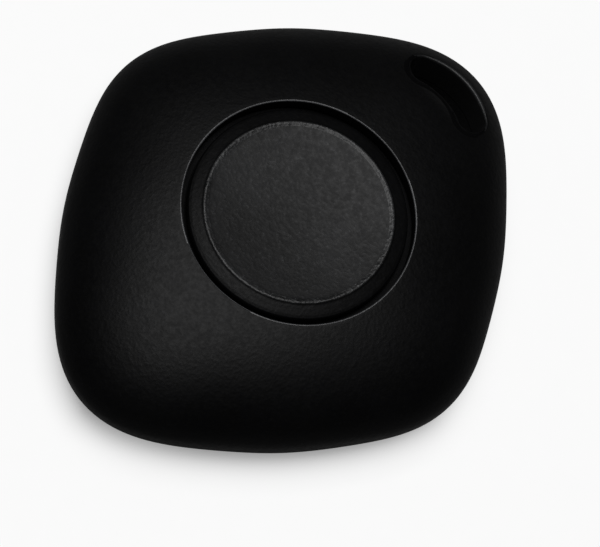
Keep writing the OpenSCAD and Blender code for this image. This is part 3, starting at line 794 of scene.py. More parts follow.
# %% Materials start the same way
def new_material(name, **sockets):
    """A material with one Principled BSDF. Plain values go on its own sockets."""
    m = bpy.data.materials.new(name)
    m.use_nodes = True
    shader = m.node_tree.nodes["Principled BSDF"]
    for key, value in sockets.items():
        shader.inputs[key.replace("_", " ")].default_value = value
    return m, m.node_tree, shader


def place_group(tree, group, **values):
    node = tree.nodes.new("ShaderNodeGroup")
    node.node_tree = group
    for key, value in values.items():
        node.inputs[key.replace("_", " ")].default_value = value
    return node.outputs


def mixed(tree, factor, low, high):
    return add_node(tree, "Mix", {"Factor": factor, "A": low, "B": high},
                    data_type="RGBA").outputs["Result"]


def dress(tree, shader, mask, dark, light, rough, height, depth_mm):
    """Gives a shader its colour by a mask, its roughness, and its bump by a height."""
    bump = add_node(tree, "Bump", {"Height": height, "Distance": depth_mm * MM})
    for title, value in (("Base Color", mixed(tree, mask, (*dark, 1), (*light, 1))),
                         ("Roughness", rough), ("Normal", bump.outputs["Normal"])):
        tree.links.new(value, shader.inputs[title])


# %% [markdown]
# ## Black case plastic
#
# The covers are near-black plastic with a dull, finely pitted skin. Dull black is
# easily made too grey: what shows is mostly the broad, weak reflection of the light
# overhead, so the colour stays very dark and the reflection is kept low and wide.
# The button's dish has a coarser and brighter grain, and its bead is a little
# glossier, so it sparkles on the side that mirrors the lamp; the bead's paler flecks
# are a painted highlight along the crest. Paler plastics paint highlights on the rim
# of the button hole and on the slot's outer edge, and dull plastics that hardly
# reflect paint the shade in the scoop and on the walls of the hole, the slot and the
# button.

# %% Materials: case and button plastic
def grained_plastic(name, dark, light, cells, depth_mm, rough, level):
    m, tree, shader = new_material(name, Specular_IOR_Level=level)
    grain = place_group(tree, SPARK_GRAIN, Cells_per_mm=cells, Mottle_mm=7.0)
    dress(tree, shader, blend(tree, (grain["Fleck"], 0.7), (grain["Mottle"], 0.3)), dark, light,
          ramp(tree, grain["Height"], 0.3, 0.7, rough + 0.05, rough - 0.05),
          grain["Height"], depth_mm)
    return m


CASE_PLASTIC, DISH_PLASTIC, BEAD_HIGHLIGHT_PLASTIC, RIM_HIGHLIGHT_PLASTIC, SLOT_EDGE_HIGHLIGHT_PLASTIC, SCOOP_SHADE_PLASTIC, \
    BORE_SHADE_PLASTIC, SLOT_BORE_SHADE_PLASTIC = [grained_plastic(*row) for row in (
        ("case_plastic", (0.0008, 0.0008, 0.0009), (0.003, 0.0031, 0.0034),
         4.0, 0.028, 0.42, 0.075),
        ("dish_plastic", (0.001, 0.001, 0.0011), (0.018, 0.0184, 0.0195),
         3.5, 0.029, 0.45, 0.13),
        # Paler flecks: a painted highlight along the crest's bead, which is also glossier
        ("bead_highlight_plastic", (0.002, 0.0021, 0.0022), (0.045, 0.046, 0.048),
         4.0, 0.08, 0.36, 0.185),
        # Paler: a painted highlight on the rim of the button hole
        ("rim_highlight_plastic", (0.02, 0.0205, 0.022), (0.09, 0.092, 0.097), 6.0, 0.025, 0.35, 0.3),
        # Paler: a painted highlight along the slot's outer edge
        ("slot_edge_highlight_plastic", (0.004, 0.0041, 0.0044), (0.02, 0.0205, 0.022),
         6.0, 0.025, 0.4, 0.2),
        # Darker and dull: painted shade in the scoop
        ("scoop_shade_plastic", (0.0006, 0.0006, 0.0007), (0.002, 0.002, 0.0022),
         3.0, 0.002, 0.75, 0.03),
        # Dull, barely reflecting: painted shade on the walls of the hole, the slot and the button
        ("bore_shade_plastic", (0.004, 0.004, 0.0042), (0.008, 0.008, 0.0084), 3.0, 0.002, 0.6, 0.02),
        # Dull, at a set tone: painted shade on the slot's walls
        ("slot_bore_shade_plastic", (0.012, 0.012, 0.0125), (0.02, 0.02, 0.021),
         3.0, 0.002, 0.8, 0.03))]
COVER_PLASTICS = [CASE_PLASTIC, RIM_HIGHLIGHT_PLASTIC, SLOT_EDGE_HIGHLIGHT_PLASTIC, BORE_SHADE_PLASTIC, SCOOP_SHADE_PLASTIC,
                  SLOT_BORE_SHADE_PLASTIC]


def cover_plastic(p):
    """The number of a face's plastic: a paler plastic paints a highlight on the hole's
    rim and on the slot's outer edge, and dull plastics paint shade in the scoop and in
    the bores."""
    x, y, z = p.center / MM
    radius, out, level = math.hypot(x, y), float(slot_distance(x, y)), abs(p.normal.z)
    side, highlight_w = float(slot_inside(x, y)), 0.2 + 0.2 * float(crescent(x))
    # The rim's round: the paler plastic, a painted highlight; the wall below it: the dull one,
    # painted shade
    if HOLE_R - 0.02 < radius < HOLE_R + HOLE_EDGE:
        return 1 if z > RIM_Z - HOLE_EDGE - 0.02 else 3
    # The slot's inner round: dull plastics, painted shade
    if -0.02 < out < 0.3 + 0.8 * side and level < 0.93 and side > 0.02:
        return 3 if level < 0.65 else 4
    # The slot's walls: a dull plastic at a set tone, painted shade
    if abs(out) < 0.02 and level < 0.3:
        return 5
    # A band along the slot's outer edge, widest in the middle: the paler plastic, a painted
    # highlight
    on_slot_highlight = -0.02 < out < highlight_w and side < 0.02 and z > float(dome_height(x, y)) - 0.4
    return 2 if on_slot_highlight else p.material_index


for cover, node in ((front, "front_cover"), (rear, "rear_cover")):
    finish_piece(cover, node, "case_plastic", *COVER_PLASTICS)
    for p in cover.data.polygons:
        p.material_index = cover_plastic(p)

# %% [markdown]
# ## The button
#
# The button is a rigid cap that stands loose in its hole. A thumb rests in its
# shallow dish. The face is turned from a profile in which the dish meets the outer
# slope in a soft crest: one formula blends the two, where a chain of arcs would
# leave lines that show in a broad highlight. A fine bead on the crest ends the
# coarse grain of the dish. Ribs stiffen the roof from below, and three keys on the
# flange stop the button from turning.

# %% Button
BUTTON_R, CREST_R, DISH, FALL, CREST_Z = 9.45, 8.1, 0.6, 0.42, RIM_Z - 0.06
BUTTON_WALL, POST_R, CREST_SOFT, BEAD, BEAD_W = 0.8, 1.8, 0.08, 0.06, 0.26


def face_height(r):
    """Height of the button's face: a dish, a soft crest and an outer slope."""
    ball_r = (CREST_R ** 2 + DISH ** 2) / (2 * DISH)
    dish = CREST_Z - DISH + ball_r - math.sqrt(ball_r ** 2 - r ** 2)
    slope = CREST_Z - (r - CREST_R) * FALL / (BUTTON_R - CREST_R)
    bead = BEAD * math.exp(-((r - CREST_R) / (BEAD_W if r < CREST_R else BEAD_W / 2)) ** 2)
    return (dish + slope - math.hypot(dish - slope, CREST_SOFT)) / 2 + bead


def button_profile(roof_z, post_z):
    steps = np.concatenate([np.linspace(0, 7.3, 24), np.linspace(7.4, 8.6, 25),
                            np.linspace(8.7, BUTTON_R, 9)])
    face = [(r, face_height(r)) for r in steps]
    edge_z, inside = face[-1][1], BUTTON_R - BUTTON_WALL
    rim = rounded([(BUTTON_R - 1, edge_z + 0.2), (BUTTON_R, edge_z), (BUTTON_R, FLANGE_TOP)],
                  [0, 0.22, 0], 6)[1:-1]
    low = rounded([(FLANGE_R - 1, FLANGE_TOP), (FLANGE_R, FLANGE_TOP), (FLANGE_R, FLANGE_Z),
                   (inside, FLANGE_Z), (inside, roof_z), (POST_R, roof_z), (POST_R, post_z),
                   (0, post_z)], [0, 0.08, 0.08, 0.15, 0.3, 0.3, 0.1, 0], 3)[1:]
    face = [p for p in face if p[0] < BUTTON_R - 0.24]
    return face + rim + [(BUTTON_R, FLANGE_TOP + 0.1), (BUTTON_R + 0.1, FLANGE_TOP)] + low


def make_button():
    roof_z = CREST_Z - DISH - BUTTON_WALL
    obj = tidy(lathe("button_cap", button_profile(roof_z, heights("button_pad")[1] + 0.01), 192))
    keys = [brick((BUTTON_R - 0.5, FLANGE_R + KEY_L), (-KEY_W / 2, KEY_W / 2),
                  (FLANGE_Z, FLANGE_Z + KEY_T), a) for a in KEY_TURNS]
    ribs = [brick((1 - BUTTON_R, BUTTON_R - 1), (-0.3, 0.3), (roof_z - 0.5, roof_z + 0.3),
                  math.radians(a)) for a in (0, 60, 120)]
    add(obj, *keys, *ribs)
    print(f"button: face {face_height(0):.2f}, open edges: {open_edges(obj)}")
    for p in obj.data.polygons:
        out = p.center.xy.length / MM - CREST_R
        # The side wall and the flange: the dull plastic, painted shade
        if out > BUTTON_R - CREST_R - 0.02:
            p.material_index = 3
        # The dish, and the crest's bead, whose paler flecks are a painted highlight
        elif p.center.z > (CREST_Z - DISH - 0.05) * MM and out < 0.12:
            p.material_index = 1 if out < -0.36 else 2
    finish_piece(obj, "button", "button_plastic", CASE_PLASTIC, DISH_PLASTIC, BEAD_HIGHLIGHT_PLASTIC,
                 BORE_SHADE_PLASTIC, body="button_cap", smooth_angle=30)


make_button()

# %% [markdown]
# ## Battery door
#
# The door is a disc with a spigot that enters the cell's bay. Three lugs on the
# spigot pass gaps in the cover's ledge and lock under it after a twist with a coin,
# and an O-ring is squeezed below the ledge. Small dimples in the plastic show where
# the door is locked and where it is open.

# %% Battery door
SPIGOT_R, SPIGOT_OUT, DOOR_FLOOR = 10.25, 11.35, DOOR_Z + 1.1
LUG_Z, LUG_R, COIN_L, COIN_R = 2.49, 12.3, 6.5, 0.95


def dimple(angle, r, radius, z):
    """A shallow ball-shaped cutter whose lowest part reaches above height z."""
    a = math.radians(angle)
    arc = [(radius * math.cos(t), z - 0.06 + radius * 0.6 * math.sin(t))
           for t in np.linspace(0, math.pi / 2, 7)]
    return tidy(lathe("dimple", [(0, z - 0.5), (radius, z - 0.5)] + arc[:-1] + [(0, arc[-1][1])],
                      32, (r * math.cos(a), r * math.sin(a))))


def coin_slot():
    """The slot's cutter: round ends in plan and a floor bent like a coin's edge."""
    turns, half = np.linspace(-math.pi / 2, math.pi / 2, 13), COIN_L - COIN_R
    plan = [(side * (half + COIN_R * math.cos(t)), side * COIN_R * math.sin(t))
            for side in (1, -1) for t in turns]
    obj = prism("coin", plan, DOOR_Z - 1, DOOR_Z + 0.6)
    for v in obj.data.vertices:
        if v.co.z > DOOR_Z * MM:
            v.co.z -= 0.12 * MM * (abs(v.co.x) / (COIN_L * MM)) ** 2
    return tidy(obj)


def make_door():
    profile = rounded([(0, DOOR_Z), (DOOR_R, DOOR_Z), (DOOR_R, DOOR_FLOOR),
                       (SPIGOT_OUT, DOOR_FLOOR), (SPIGOT_OUT, LUG_TOP), (SPIGOT_R, LUG_TOP),
                       (SPIGOT_R, DOOR_FLOOR), (0, DOOR_FLOOR)],
                      [0, 0.2, 0.06, 0.1, 0.1, 0.1, 0.15, 0])
    obj = tidy(lathe("battery_door_disc", profile, 180))
    add(obj, *(sector(SPIGOT_OUT - 0.4, LUG_R, a, LUG_ANGLE, LUG_Z, LUG_TOP - 0.01)
               for a in LUG_TURNS))
    cut(obj, coin_slot(), dimple(90, 11.1, 0.45, DOOR_Z))
    print("door: open edges:", open_edges(obj))
    finish_piece(obj, "battery_door", "case_plastic", CASE_PLASTIC, body="door", smooth_angle=30)


make_door()
tidy(cut(rear, *(dimple(angle, 13.4, 0.32, 0.0) for angle in (90, 90 - DOOR_TURN))))

# %% [markdown]
# ## Effects for metal and cloth
#
# `turned_marks` draws the fine rings that a lathe or a drawing press leaves round an
# axis, and `rolled_marks` the straight lines of rolled sheet. Both stretch a noise
# along one direction, which is cheaper than modelling scratches and never repeats.
# `woven_threads` crosses two waves for the sounder's mesh.

# %% Groups: marks and threads
def moved_place(tree, operation, by):
    return add_node(tree, "VectorMath", {0: object_place(tree), 1: by},
                    operation=operation).outputs[0]


def give_marks(group, marks):
    return give_out(group, Height=marks, Streak=ramp(group, marks, 0.35, 0.65))


def make_turned_marks():
    group, given = new_group("turned_marks", Centre=(0.0, 0.0, 0.0), Rings_per_mm=6.0)
    split = split_place(group, moved_place(group, "SUBTRACT", given["Centre"]))
    radius = calc(group, "SQRT", blend(group, (split["X"], split["X"]), (split["Y"], split["Y"])))
    rings = add_node(group, "CombineXYZ", {
        0: times(group, radius, times(group, given["Rings per mm"], 1 / MM)),
        1: times(group, split["X"], 150.0), 2: times(group, split["Y"], 150.0)}).outputs[0]
    return give_marks(group, noise(group, rings, 1.0, 3.0))


def make_rolled_marks():
    group, given = new_group("rolled_marks", Stretch=(1.0, 20.0, 20.0), Lines_per_mm=1.0)
    place = moved_place(group, "MULTIPLY", given["Stretch"])
    return give_marks(group, noise(group, place, times(group, given["Lines per mm"], 1 / MM), 3.0))


def make_woven_threads():
    group, given = new_group("woven_threads", Threads_per_mm=6.0)
    scale = times(group, given["Threads per mm"], math.pi / MM)
    split = split_place(group, object_place(group))
    height = calc(group, "MAXIMUM", *(
        calc(group, "ABSOLUTE", calc(group, "SINE", times(group, split[axis], scale)))
        for axis in ("X", "Y")))
    return give_out(group, Height=height, Thread=ramp(group, height, 0.55, 0.8))


TURNED, ROLLED, WOVEN = make_turned_marks(), make_rolled_marks(), make_woven_threads()


# %% Materials of the inner pieces
def moulded(name, dark, light, cells=3.0, rough=0.5, level=0.5, depth_mm=0.02):
    """Plain moulded, fired or foamed stuff: the spark grain at its own scale."""
    return grained_plastic(name, dark, light, cells, depth_mm, rough, level)


def metal(name, dark, light, group, rough, depth_mm=0.0005, **values):
    m, tree, shader = new_material(name, Metallic=1.0)
    marks = place_group(tree, group, **values)
    dress(tree, shader, marks["Streak"], dark, light,
          ramp(tree, marks["Height"], 0.3, 0.7, rough - 0.06, rough + 0.08),
          marks["Height"], depth_mm)
    return m


CELL_STEEL = metal("cell_steel", (0.55, 0.56, 0.57), (0.66, 0.67, 0.68), TURNED, 0.26,
                   0.0008, Rings_per_mm=9.0)
ZINC = metal("zinc_plate", (0.46, 0.47, 0.49), (0.58, 0.59, 0.6), ROLLED, 0.32)
SPRING = metal("spring_steel", (0.5, 0.5, 0.5), (0.64, 0.64, 0.63), ROLLED, 0.24, Lines_per_mm=1.5)
GOLD = metal("gold_plate", (0.7, 0.5, 0.2), (0.82, 0.62, 0.3), ROLLED, 0.25, Lines_per_mm=2.0)
TIN = metal("tin", (0.6, 0.61, 0.62), (0.74, 0.74, 0.74), ROLLED, 0.34, Stretch=(3.0, 3.0, 3.0))
LID = metal("crystal_lid", (0.6, 0.6, 0.59), (0.7, 0.7, 0.69), ROLLED, 0.22)
COPPER = metal("copper_wire", (0.6, 0.24, 0.11), (0.78, 0.36, 0.18), TURNED, 0.3, 0.002,
               Centre=(0.0, BUZZER_Y * MM, 0.0), Rings_per_mm=8.0)
SILICONE = moulded("silicone", (0.17, 0.18, 0.19), (0.23, 0.24, 0.25), 1.5, 0.55)
SEAL = moulded("seal_rubber", (0.2, 0.03, 0.016), (0.3, 0.055, 0.03), 2.0, 0.45)
INSULATOR = moulded("cell_insulator", (0.68, 0.66, 0.6), (0.8, 0.78, 0.73), 2.0, 0.4)
HOLDER = moulded("holder_plastic", (0.035, 0.036, 0.039), (0.065, 0.067, 0.07), 3.0, 0.42)
BLACK = moulded("switch_plastic", (0.02, 0.02, 0.022), (0.04, 0.04, 0.042), 4.0, 0.38)
IVORY = moulded("plunger_plastic", (0.72, 0.7, 0.61), (0.86, 0.84, 0.76), 2.0, 0.4)
RESIN = moulded("chip_resin", (0.012, 0.012, 0.014), (0.026, 0.026, 0.029), 9.0, 0.6, 0.4, 0.025)
CERAMIC = moulded("white_ceramic", (0.72, 0.72, 0.68), (0.86, 0.86, 0.83), 3.0, 0.45)
TAN = moulded("tan_ceramic", (0.34, 0.21, 0.11), (0.47, 0.31, 0.18), 5.0, 0.4)
GLAZE = moulded("black_glaze", (0.014, 0.014, 0.016), (0.026, 0.026, 0.028), 2.0, 0.18)
FERRITE = moulded("ferrite", (0.06, 0.06, 0.064), (0.11, 0.11, 0.115), 7.0, 0.55)
FOAM = moulded("foam", (0.03, 0.031, 0.033), (0.08, 0.082, 0.086), 3.0, 0.85, 0.2, 0.12)


# %% Materials: board and mesh
def make_solder_mask(name, dark, light):
    """Green lacquer over glass cloth: the weave shows faintly through it."""
    m, tree, shader = new_material(name, Coat_Weight=0.6, Coat_Roughness=0.12)
    weave = place_group(tree, WOVEN, Threads_per_mm=2.2)
    grain = place_group(tree, SPARK_GRAIN, Cells_per_mm=1.0, Mottle_mm=5.0)
    dress(tree, shader, blend(tree, (weave["Thread"], 0.4), (grain["Mottle"], 0.6)), dark, light,
          ramp(tree, grain["Height"], 0.3, 0.7, 0.3, 0.42), weave["Height"], 0.003)
    return m


def make_mesh_cloth():
    m, tree, shader = new_material("mesh_cloth", Specular_IOR_Level=0.3)
    weave = place_group(tree, WOVEN, Threads_per_mm=7.0)
    dress(tree, shader, weave["Thread"], (0.008, 0.008, 0.009), (0.14, 0.145, 0.15),
          ramp(tree, weave["Height"], 0, 1, 0.8, 0.55), weave["Height"], 0.04)
    return m


MASK = make_solder_mask("solder_mask", (0.006, 0.07, 0.03), (0.012, 0.11, 0.05))
TRACE = make_solder_mask("covered_copper", (0.03, 0.15, 0.05), (0.05, 0.2, 0.075))
INK = moulded("white_ink", (0.6, 0.6, 0.58), (0.78, 0.78, 0.76), 8.0, 0.6)
MESH_CLOTH = make_mesh_cloth()
print("materials:", len(bpy.data.materials))


# %% Helpers for small pieces
def join(name, parts):
    """One object from several, each with the number of its material."""
    bm = bmesh.new()
    for obj, index in parts:
        start = len(bm.faces)
        bm.from_mesh(obj.data)
        bm.faces.ensure_lookup_table()
        for f in bm.faces[start:]:
            f.material_index = index
        bpy.data.objects.remove(obj)
    return object_from(bm, name)


def soft_box(size, at, low, edge=0.05, turn=0.0, steps=2, name="block"):
    """A block with rounded edges, standing at height low, turned in degrees."""
    bm = bmesh.new()
    bmesh.ops.create_cube(bm, size=1)
    for v in bm.verts:
        v.co = Vector((v.co.x * size[0], v.co.y * size[1], (v.co.z + 0.5) * size[2]))
    bmesh.ops.bevel(bm, geom=bm.edges[:], offset=edge, segments=steps, profile=0.5,
                    affect="EDGES")
    place = Matrix.Translation((at[0], at[1], low)) @ Matrix.Rotation(math.radians(turn), 4, "Z")
    bmesh.ops.transform(bm, matrix=Matrix.Scale(MM, 4) @ place, verts=bm.verts)
    return object_from(bm, name)


def plain_box(*size_and_place, turn=0):
    return soft_box(*size_and_place, turn, 1)


def turned(name, profile, radii, count=96, at=(0, 0), steps=4):
    return tidy(lathe(name, rounded(profile, radii, steps), count, at))


def turned_piece(node, form, slot, material, profile, radii, count=96, at=(0, 0), body="case"):
    return finish_piece(turned(f"{node}_{form}", profile, radii, count, at), node, slot,
                        material, body=body)


def turn_about(obj, degrees):
    obj.data.transform(Matrix.Rotation(math.radians(degrees), 4, "Z"))
    return obj


def bent_strip(name, path, thick, width, bend=0.3):
    """Sheet metal bent along a path of (x, z), with its width along y."""
    path = np.array(path, float)
    line = []
    for i, p in enumerate(path):
        if 0 < i < len(path) - 1:
            u, v = path[i - 1] - p, path[i + 1] - p
            reach = min(bend, *(np.linalg.norm(w) * 0.45 for w in (u, v)))
            u, v = u / np.linalg.norm(u) * reach, v / np.linalg.norm(v) * reach
            line += [p + u * (1 - t) ** 2 + v * t ** 2 for t in np.linspace(0, 1, 7)]
        else:
            line.append(p)
    line = np.array(line)
    along = np.gradient(line, axis=0)
    along /= np.linalg.norm(along, axis=1)[:, None]
    side = np.column_stack([-along[:, 1], along[:, 0]]) * thick / 2
    outline = np.vstack([line + side, (line - side)[::-1]])
    rings = [np.column_stack([outline[:, 0], np.full(len(outline), y), outline[:, 1]])
             for y in (-width / 2, width / 2)]
    return tidy(loft(name, rings))


def wire(points, width, z, high=0.02):
    """A flat strip of copper or ink through points of the plan, with mitred bends."""
    path = np.array(points, float)
    along = np.diff(path, axis=0)
    along /= np.linalg.norm(along, axis=1)[:, None]
    path[0] -= along[0] * width / 2
    path[-1] += along[-1] * width / 2
    side = np.column_stack([-along[:, 1], along[:, 0]])
    before = np.vstack([side[:1], side])
    mitre = before + np.vstack([side, side[-1:]])
    mitre *= width / 2 / (mitre * before).sum(1)[:, None]
    return tidy(prism("wire", np.vstack([path - mitre, (path + mitre)[::-1]]), z, z + high))


# %% [markdown]
# ## Door seal, button pad and coin cell
#
# The cell is bought in: a drawn can, a cap and a plastic gasket that is crimped
# between them. Each is turned from its section, with the crimp's round on top. The
# seal and the pad are moulded rubber, so even their flat faces have round rims.

# %% Seal, pad and cell
CELL_Z, CELL_TOP, CELL_R, CAP_R, CAN_T, CAP_DIP = 1.25, 4.45, 10.0, 8.85, 0.25, 0.05
SEAL_R, SEAL_Z, SEAL_WIRE = SPIGOT_OUT + 0.26, DOOR_FLOOR + 0.25, 0.25


def make_seal_and_pad():
    ring = [(SEAL_R + SEAL_WIRE * math.cos(t), SEAL_Z + SEAL_WIRE * math.sin(t))
            for t in full_circle(20)]
    finish_piece(lathe("door_seal_ring", ring, 144), "door_seal", "seal_rubber", SEAL, body="door")
    turned_piece("button_pad", "disc", "silicone", SILICONE,
                 section(0, 1.6, *heights("button_pad")), [0, 0.12, 0.1, 0], body="button_cap")


def make_cell():
    low, rim, t = CELL_Z, CELL_TOP - 0.2, CAN_T
    can = turned("cell_can_shell", [
        (0, low), (CELL_R, low), (CELL_R, rim), (CAP_R + 0.3, rim), (CAP_R + 0.3, rim - t),
        (CELL_R - t, rim - t - 0.5), (CELL_R - t, low + t), (0, low + t)],
        [0, 0.5, 0.5, 0.08, 0.05, 0.2, 0.35, 0], 144, steps=6)
    plus = ((-2.0, 2.0), (-0.35, 0.35))
    cut(can, *(brick(x, y, (low - 1, low + 0.04)) for x, y in (plus, plus[::-1])))
    finish_piece(can, "cell_can", "cell_steel", CELL_STEEL)
    low += t + 0.01
    turned_piece("cell_gasket", "ring", "cell_insulator", INSULATOR,
                 section(CAP_R + 0.01, CAP_R + 0.29, low, rim - 0.01), 0.08, 144)
    dip = CELL_TOP - CAP_DIP
    turned_piece("cell_cap", "disc", "cell_steel", CELL_STEEL, [
        (0, low), (CAP_R, low), (CAP_R, CELL_TOP), (CAP_R - 0.9, CELL_TOP), (CAP_R - 1.1, dip),
        (2.2, dip), (2.0, CELL_TOP), (0, CELL_TOP)],
        [0, 0.1, 0.35, 0.1, 0.1, 0.1, 0.1, 0], 144)


make_seal_and_pad()
make_cell()

# %% [markdown]
# ## Cell holder and contacts
#
# The holder is a moulded ring on two pegs that hangs below the board round the cell.
# The contacts are cut and bent from thin sheet. A strip that follows a path of
# heights keeps its thickness through each bend, which a stretched box would not.

# %% Holder and contacts
HOLDER_Z, HOLDER_R, FLANGE_T, LEAF_TURN, SHEET = heights("cell_holder")[0], 11.1, 0.4, 135, 0.15
PEGS = [(HOLDER_R * math.cos(a), HOLDER_R * math.sin(a)) for a in map(math.radians, (30, 250))]


def make_holder():
    obj = turned("cell_holder_ring", [
        (10.2, HOLDER_Z), (HOLDER_R, HOLDER_Z), (HOLDER_R, BOARD_Z - FLANGE_T),
        (11.8, BOARD_Z - FLANGE_T), (11.8, BOARD_Z), (10.2, BOARD_Z)],
        [0.25, 0.15, 0.15, 0.12, 0.05, 0.05], 144)
    cut(obj, brick((9, 13), (-1.8, 1.8), (HOLDER_Z - 1, BOARD_Z + 1), math.radians(LEAF_TURN)))
    add(obj, *(turned("peg", section(0, 0.5, BOARD_Z - 0.2, BOARD_TOP), [0, 0, 0.18, 0], 32, peg)
               for peg in PEGS))
    finish_piece(obj, "cell_holder", "holder_plastic", HOLDER)


def make_contacts():
    side, high, low = 10.085, BOARD_Z - SHEET / 2, CELL_TOP + 0.085
    leaf = bent_strip("positive_contact_leaf", [(side, HOLDER_Z), (side, HOLDER_Z + 0.5),
                                                (side, high), (12.2, high)], SHEET, 3.0)
    cut(leaf, brick((9.5, 10.6), (-0.2, 0.2), (HOLDER_Z - 1, BOARD_Z - 0.7)))
    finish_piece(turn_about(leaf, LEAF_TURN), "positive_contact", "contact_brass", GOLD)
    blade = bent_strip("negative_contact_blade", [(-6.5, high), (-4.0, high), (-1.1, low),
                                                  (1.1, low), (4.0, low + 0.2)], SHEET, 2.6, 0.6)
    cut(blade, brick((-3.2, 5.0), (-0.18, 0.18), (low - 1, BOARD_Z + 1)))
    finish_piece(blade, "negative_contact", "contact_brass", GOLD)


make_holder()
make_contacts()

# %% [markdown]
# ## Circuit board and its screws
#
# The board follows the inside of the front cover and leaves the slot free. Pads and
# vias are bare plated copper, and the runs between them lie under green lacquer, so
# they are slightly raised strips of a paler green. White ink marks the corners of
# the larger parts, as a help to whoever fits them.

# %% Places on the board
SMALL_CAPS = [(13, 7.2, 90), (3.6, 3.6, 0), (3.6, 5.4, 0), (5.2, 10.6, 90), (-4, 8.6, 0),
              (-4, 10.2, 0), (-7.6, 7, 0), (8.6, -3.2, 0), (10.8, -5.2, 90)]
SMALL_RESISTORS = [(-9.2, -4, 90), (-7.4, -4, 90), (-5.6, -5.4, 90), (6.4, -6.4, 0),
                   (6.4, -8, 0), (12.4, 3.4, 90)]
RUNS = [[(5.2, 5.2), (4.4, 5.4)], [(5.2, 4.2), (4.4, 3.6)], [(9.6, 8.2), (9.6, 9.0)],
        [(7.6, 8.2), (7.6, 9.0)], [(5.9, 8.2), (4.2, 8.2)], [(11.2, 6.2), (13, 6.4)],
        [(11.2, 4.6), (12.4, 4.2)], [(2.8, 5.4), (-1, 9.2), (-3.2, 10.2)],
        [(-4.8, 10.2), (-7.4, 12.6), (-8.8, 12.2)], [(-4.8, 8.6), (-6.8, 7)],
        [(2.8, 1.5), (3.2, 2.2), (5.2, 2.6)], [(2.8, -1.5), (4.4, -3.2), (7.8, -3.2)],
        [(-2.8, 1.5), (-5.4, 2.6), (-6.4, 4.2)], [(-2.8, -1.5), (-5.6, -4.6)],
        [(-7.4, -4.8), (-7.4, -7.4), (-2.2, -12.4)], [(-9.2, -3.2), (-9.2, 3.4), (-8.8, 4.2)],
        [(9.4, -3.2), (10.8, -4.4)], [(10.8, -6), (7.2, -8)], [(5.6, -6.4), (2.2, -12.4)],
        [(8.2, 2.2), (8.2, -1.2), (7.8, -3.2)], [(11.2, 5.4), (14.2, 2.4), (14.2, -3)]]
LOW_RUNS = [[(-7.6, 5.6), (-8.8, 4.2), (-9.6, 0), (-6.4, 0)],
            [(-2.6, -12.4), (-4.6, -11), (-7.4, -7.4)], [(2.6, -12.4), (5, -11), (6.4, -10.2)],
            [(-8.6, 9.4), (-9.8, 7.2), (-10.6, 3)],
            [(0.6, 6.4), (0.6, 1.8), (-3.4, -2.4), (-4.2, -1)]]
CHIP_AT, SWITCH_FOOT = (8.2, 5.2), (2.7, 1.5)
INK_CORNERS = [(CHIP_AT, 3.75), ((0, 0), 3.35)]
VIAS = [(-1, 9.2), (-10.6, 3), (0.6, 6.4), (-12.4, -3.4), (13.6, -2.4), (4.4, -3.2), (-3.4, 3.2),
        (-7.4, -7.4), (2.2, -12.4), (-2.2, -12.4), (6.4, -10.2), (-13, 2.6), (14.2, 2.4)]
SIDES, PAD_T = (-1, 1), 0.03


def pad(x, y, long, wide, z=BOARD_TOP, turn=0):
    return plain_box((long, wide, PAD_T), (x, y), z, 0.01, turn=turn), 1


def beside(x, y, turn, reach):
    """The places on both sides of a point, along a direction in degrees."""
    a = math.radians(turn)
    return [(x + side * reach * math.cos(a), y + side * reach * math.sin(a)) for side in SIDES]


def four_rows(at, reach, size, edge):
    """Eight blocks along each side of the chip."""
    (x, y), (long, wide, high) = at, size
    for step in (-2.45 + 0.7 * i for i in range(8)):
        for out in (-reach, reach):
            yield plain_box(size, (x + out, y + step), BOARD_TOP, edge), 1
            yield plain_box((wide, long, high), (x + step, y + out), BOARD_TOP, edge), 1


# %% Board
def board_plate():
    turns, low, top = full_circle(240), BOARD_Z - 1, BOARD_TOP + 1
    edge = [inner_r(a, BOARD_TOP) - 0.3 for a in turns]
    obj = tidy(prism("board", [(r * math.cos(a), r * math.sin(a)) for r, a in zip(edge, turns)],
                     BOARD_Z, BOARD_TOP, 0.04))
    return cut(obj, slot_bar(SLOT_WALL + 0.3, low, top),
               brick((-HALF_W / 2, HALF_W / 2), (CORNER_Y + SLOT_R - BEND_R / 2, 25), (low, top)),
               *(rod(0.8, low, top, 32, at) for at in SCREWS),
               *(rod(0.525, low, top, 32, at) for at in PEGS))


def ink_corners():
    for (x, y), half in INK_CORNERS:
        short = half - 0.8
        for sx in SIDES:
            for sy in SIDES:
                corner = [(x + sx * u, y + sy * v) for u, v in
                          ((short, half), (half, half), (half, short))]
                yield wire(corner, 0.14, BOARD_TOP, 0.015), 3


def plated_ring(r_in, r_out, z, count, at):
    return turned("ring", section(r_in, r_out, z, z + PAD_T), 0.01, count, at), 1


def make_board():
    parts = [(board_plate(), 0)]
    parts += [pad(*at, 0.7, 1.0, turn=turn) for x, y, turn in SMALL_CAPS + SMALL_RESISTORS
              for at in beside(x, y, turn, 0.8)]
    parts += [(wire(run, 0.22, BOARD_TOP), 2) for run in RUNS]
    parts += [(wire(run, 0.35, BOARD_Z - 0.02), 2) for run in LOW_RUNS]
    parts += ink_corners()
    parts += [pad(x, BUZZER_Y + CASE_W + 0.4, 1.1, 0.7, BOARD_Z - PAD_T) for x in (-2.6, 2.6)]
    parts += [plated_ring(0.12, 0.3, BOARD_TOP, 20, via) for via in VIAS]
    parts += [plated_ring(0.82, 1.35, z, 40, at) for at in SCREWS
              for z in (BOARD_TOP, BOARD_Z - PAD_T)]
    parts += [pad(sx * SWITCH_FOOT[0], sy * SWITCH_FOOT[1], 1.0, 0.9)
              for sx in SIDES for sy in SIDES]
    parts += four_rows(CHIP_AT, 3.1, (0.5, 0.32, PAD_T), 0.01)
    finish_piece(join("circuit_board_plate", parts), "circuit_board", "board",
                 MASK, GOLD, TRACE, INK)


make_board()


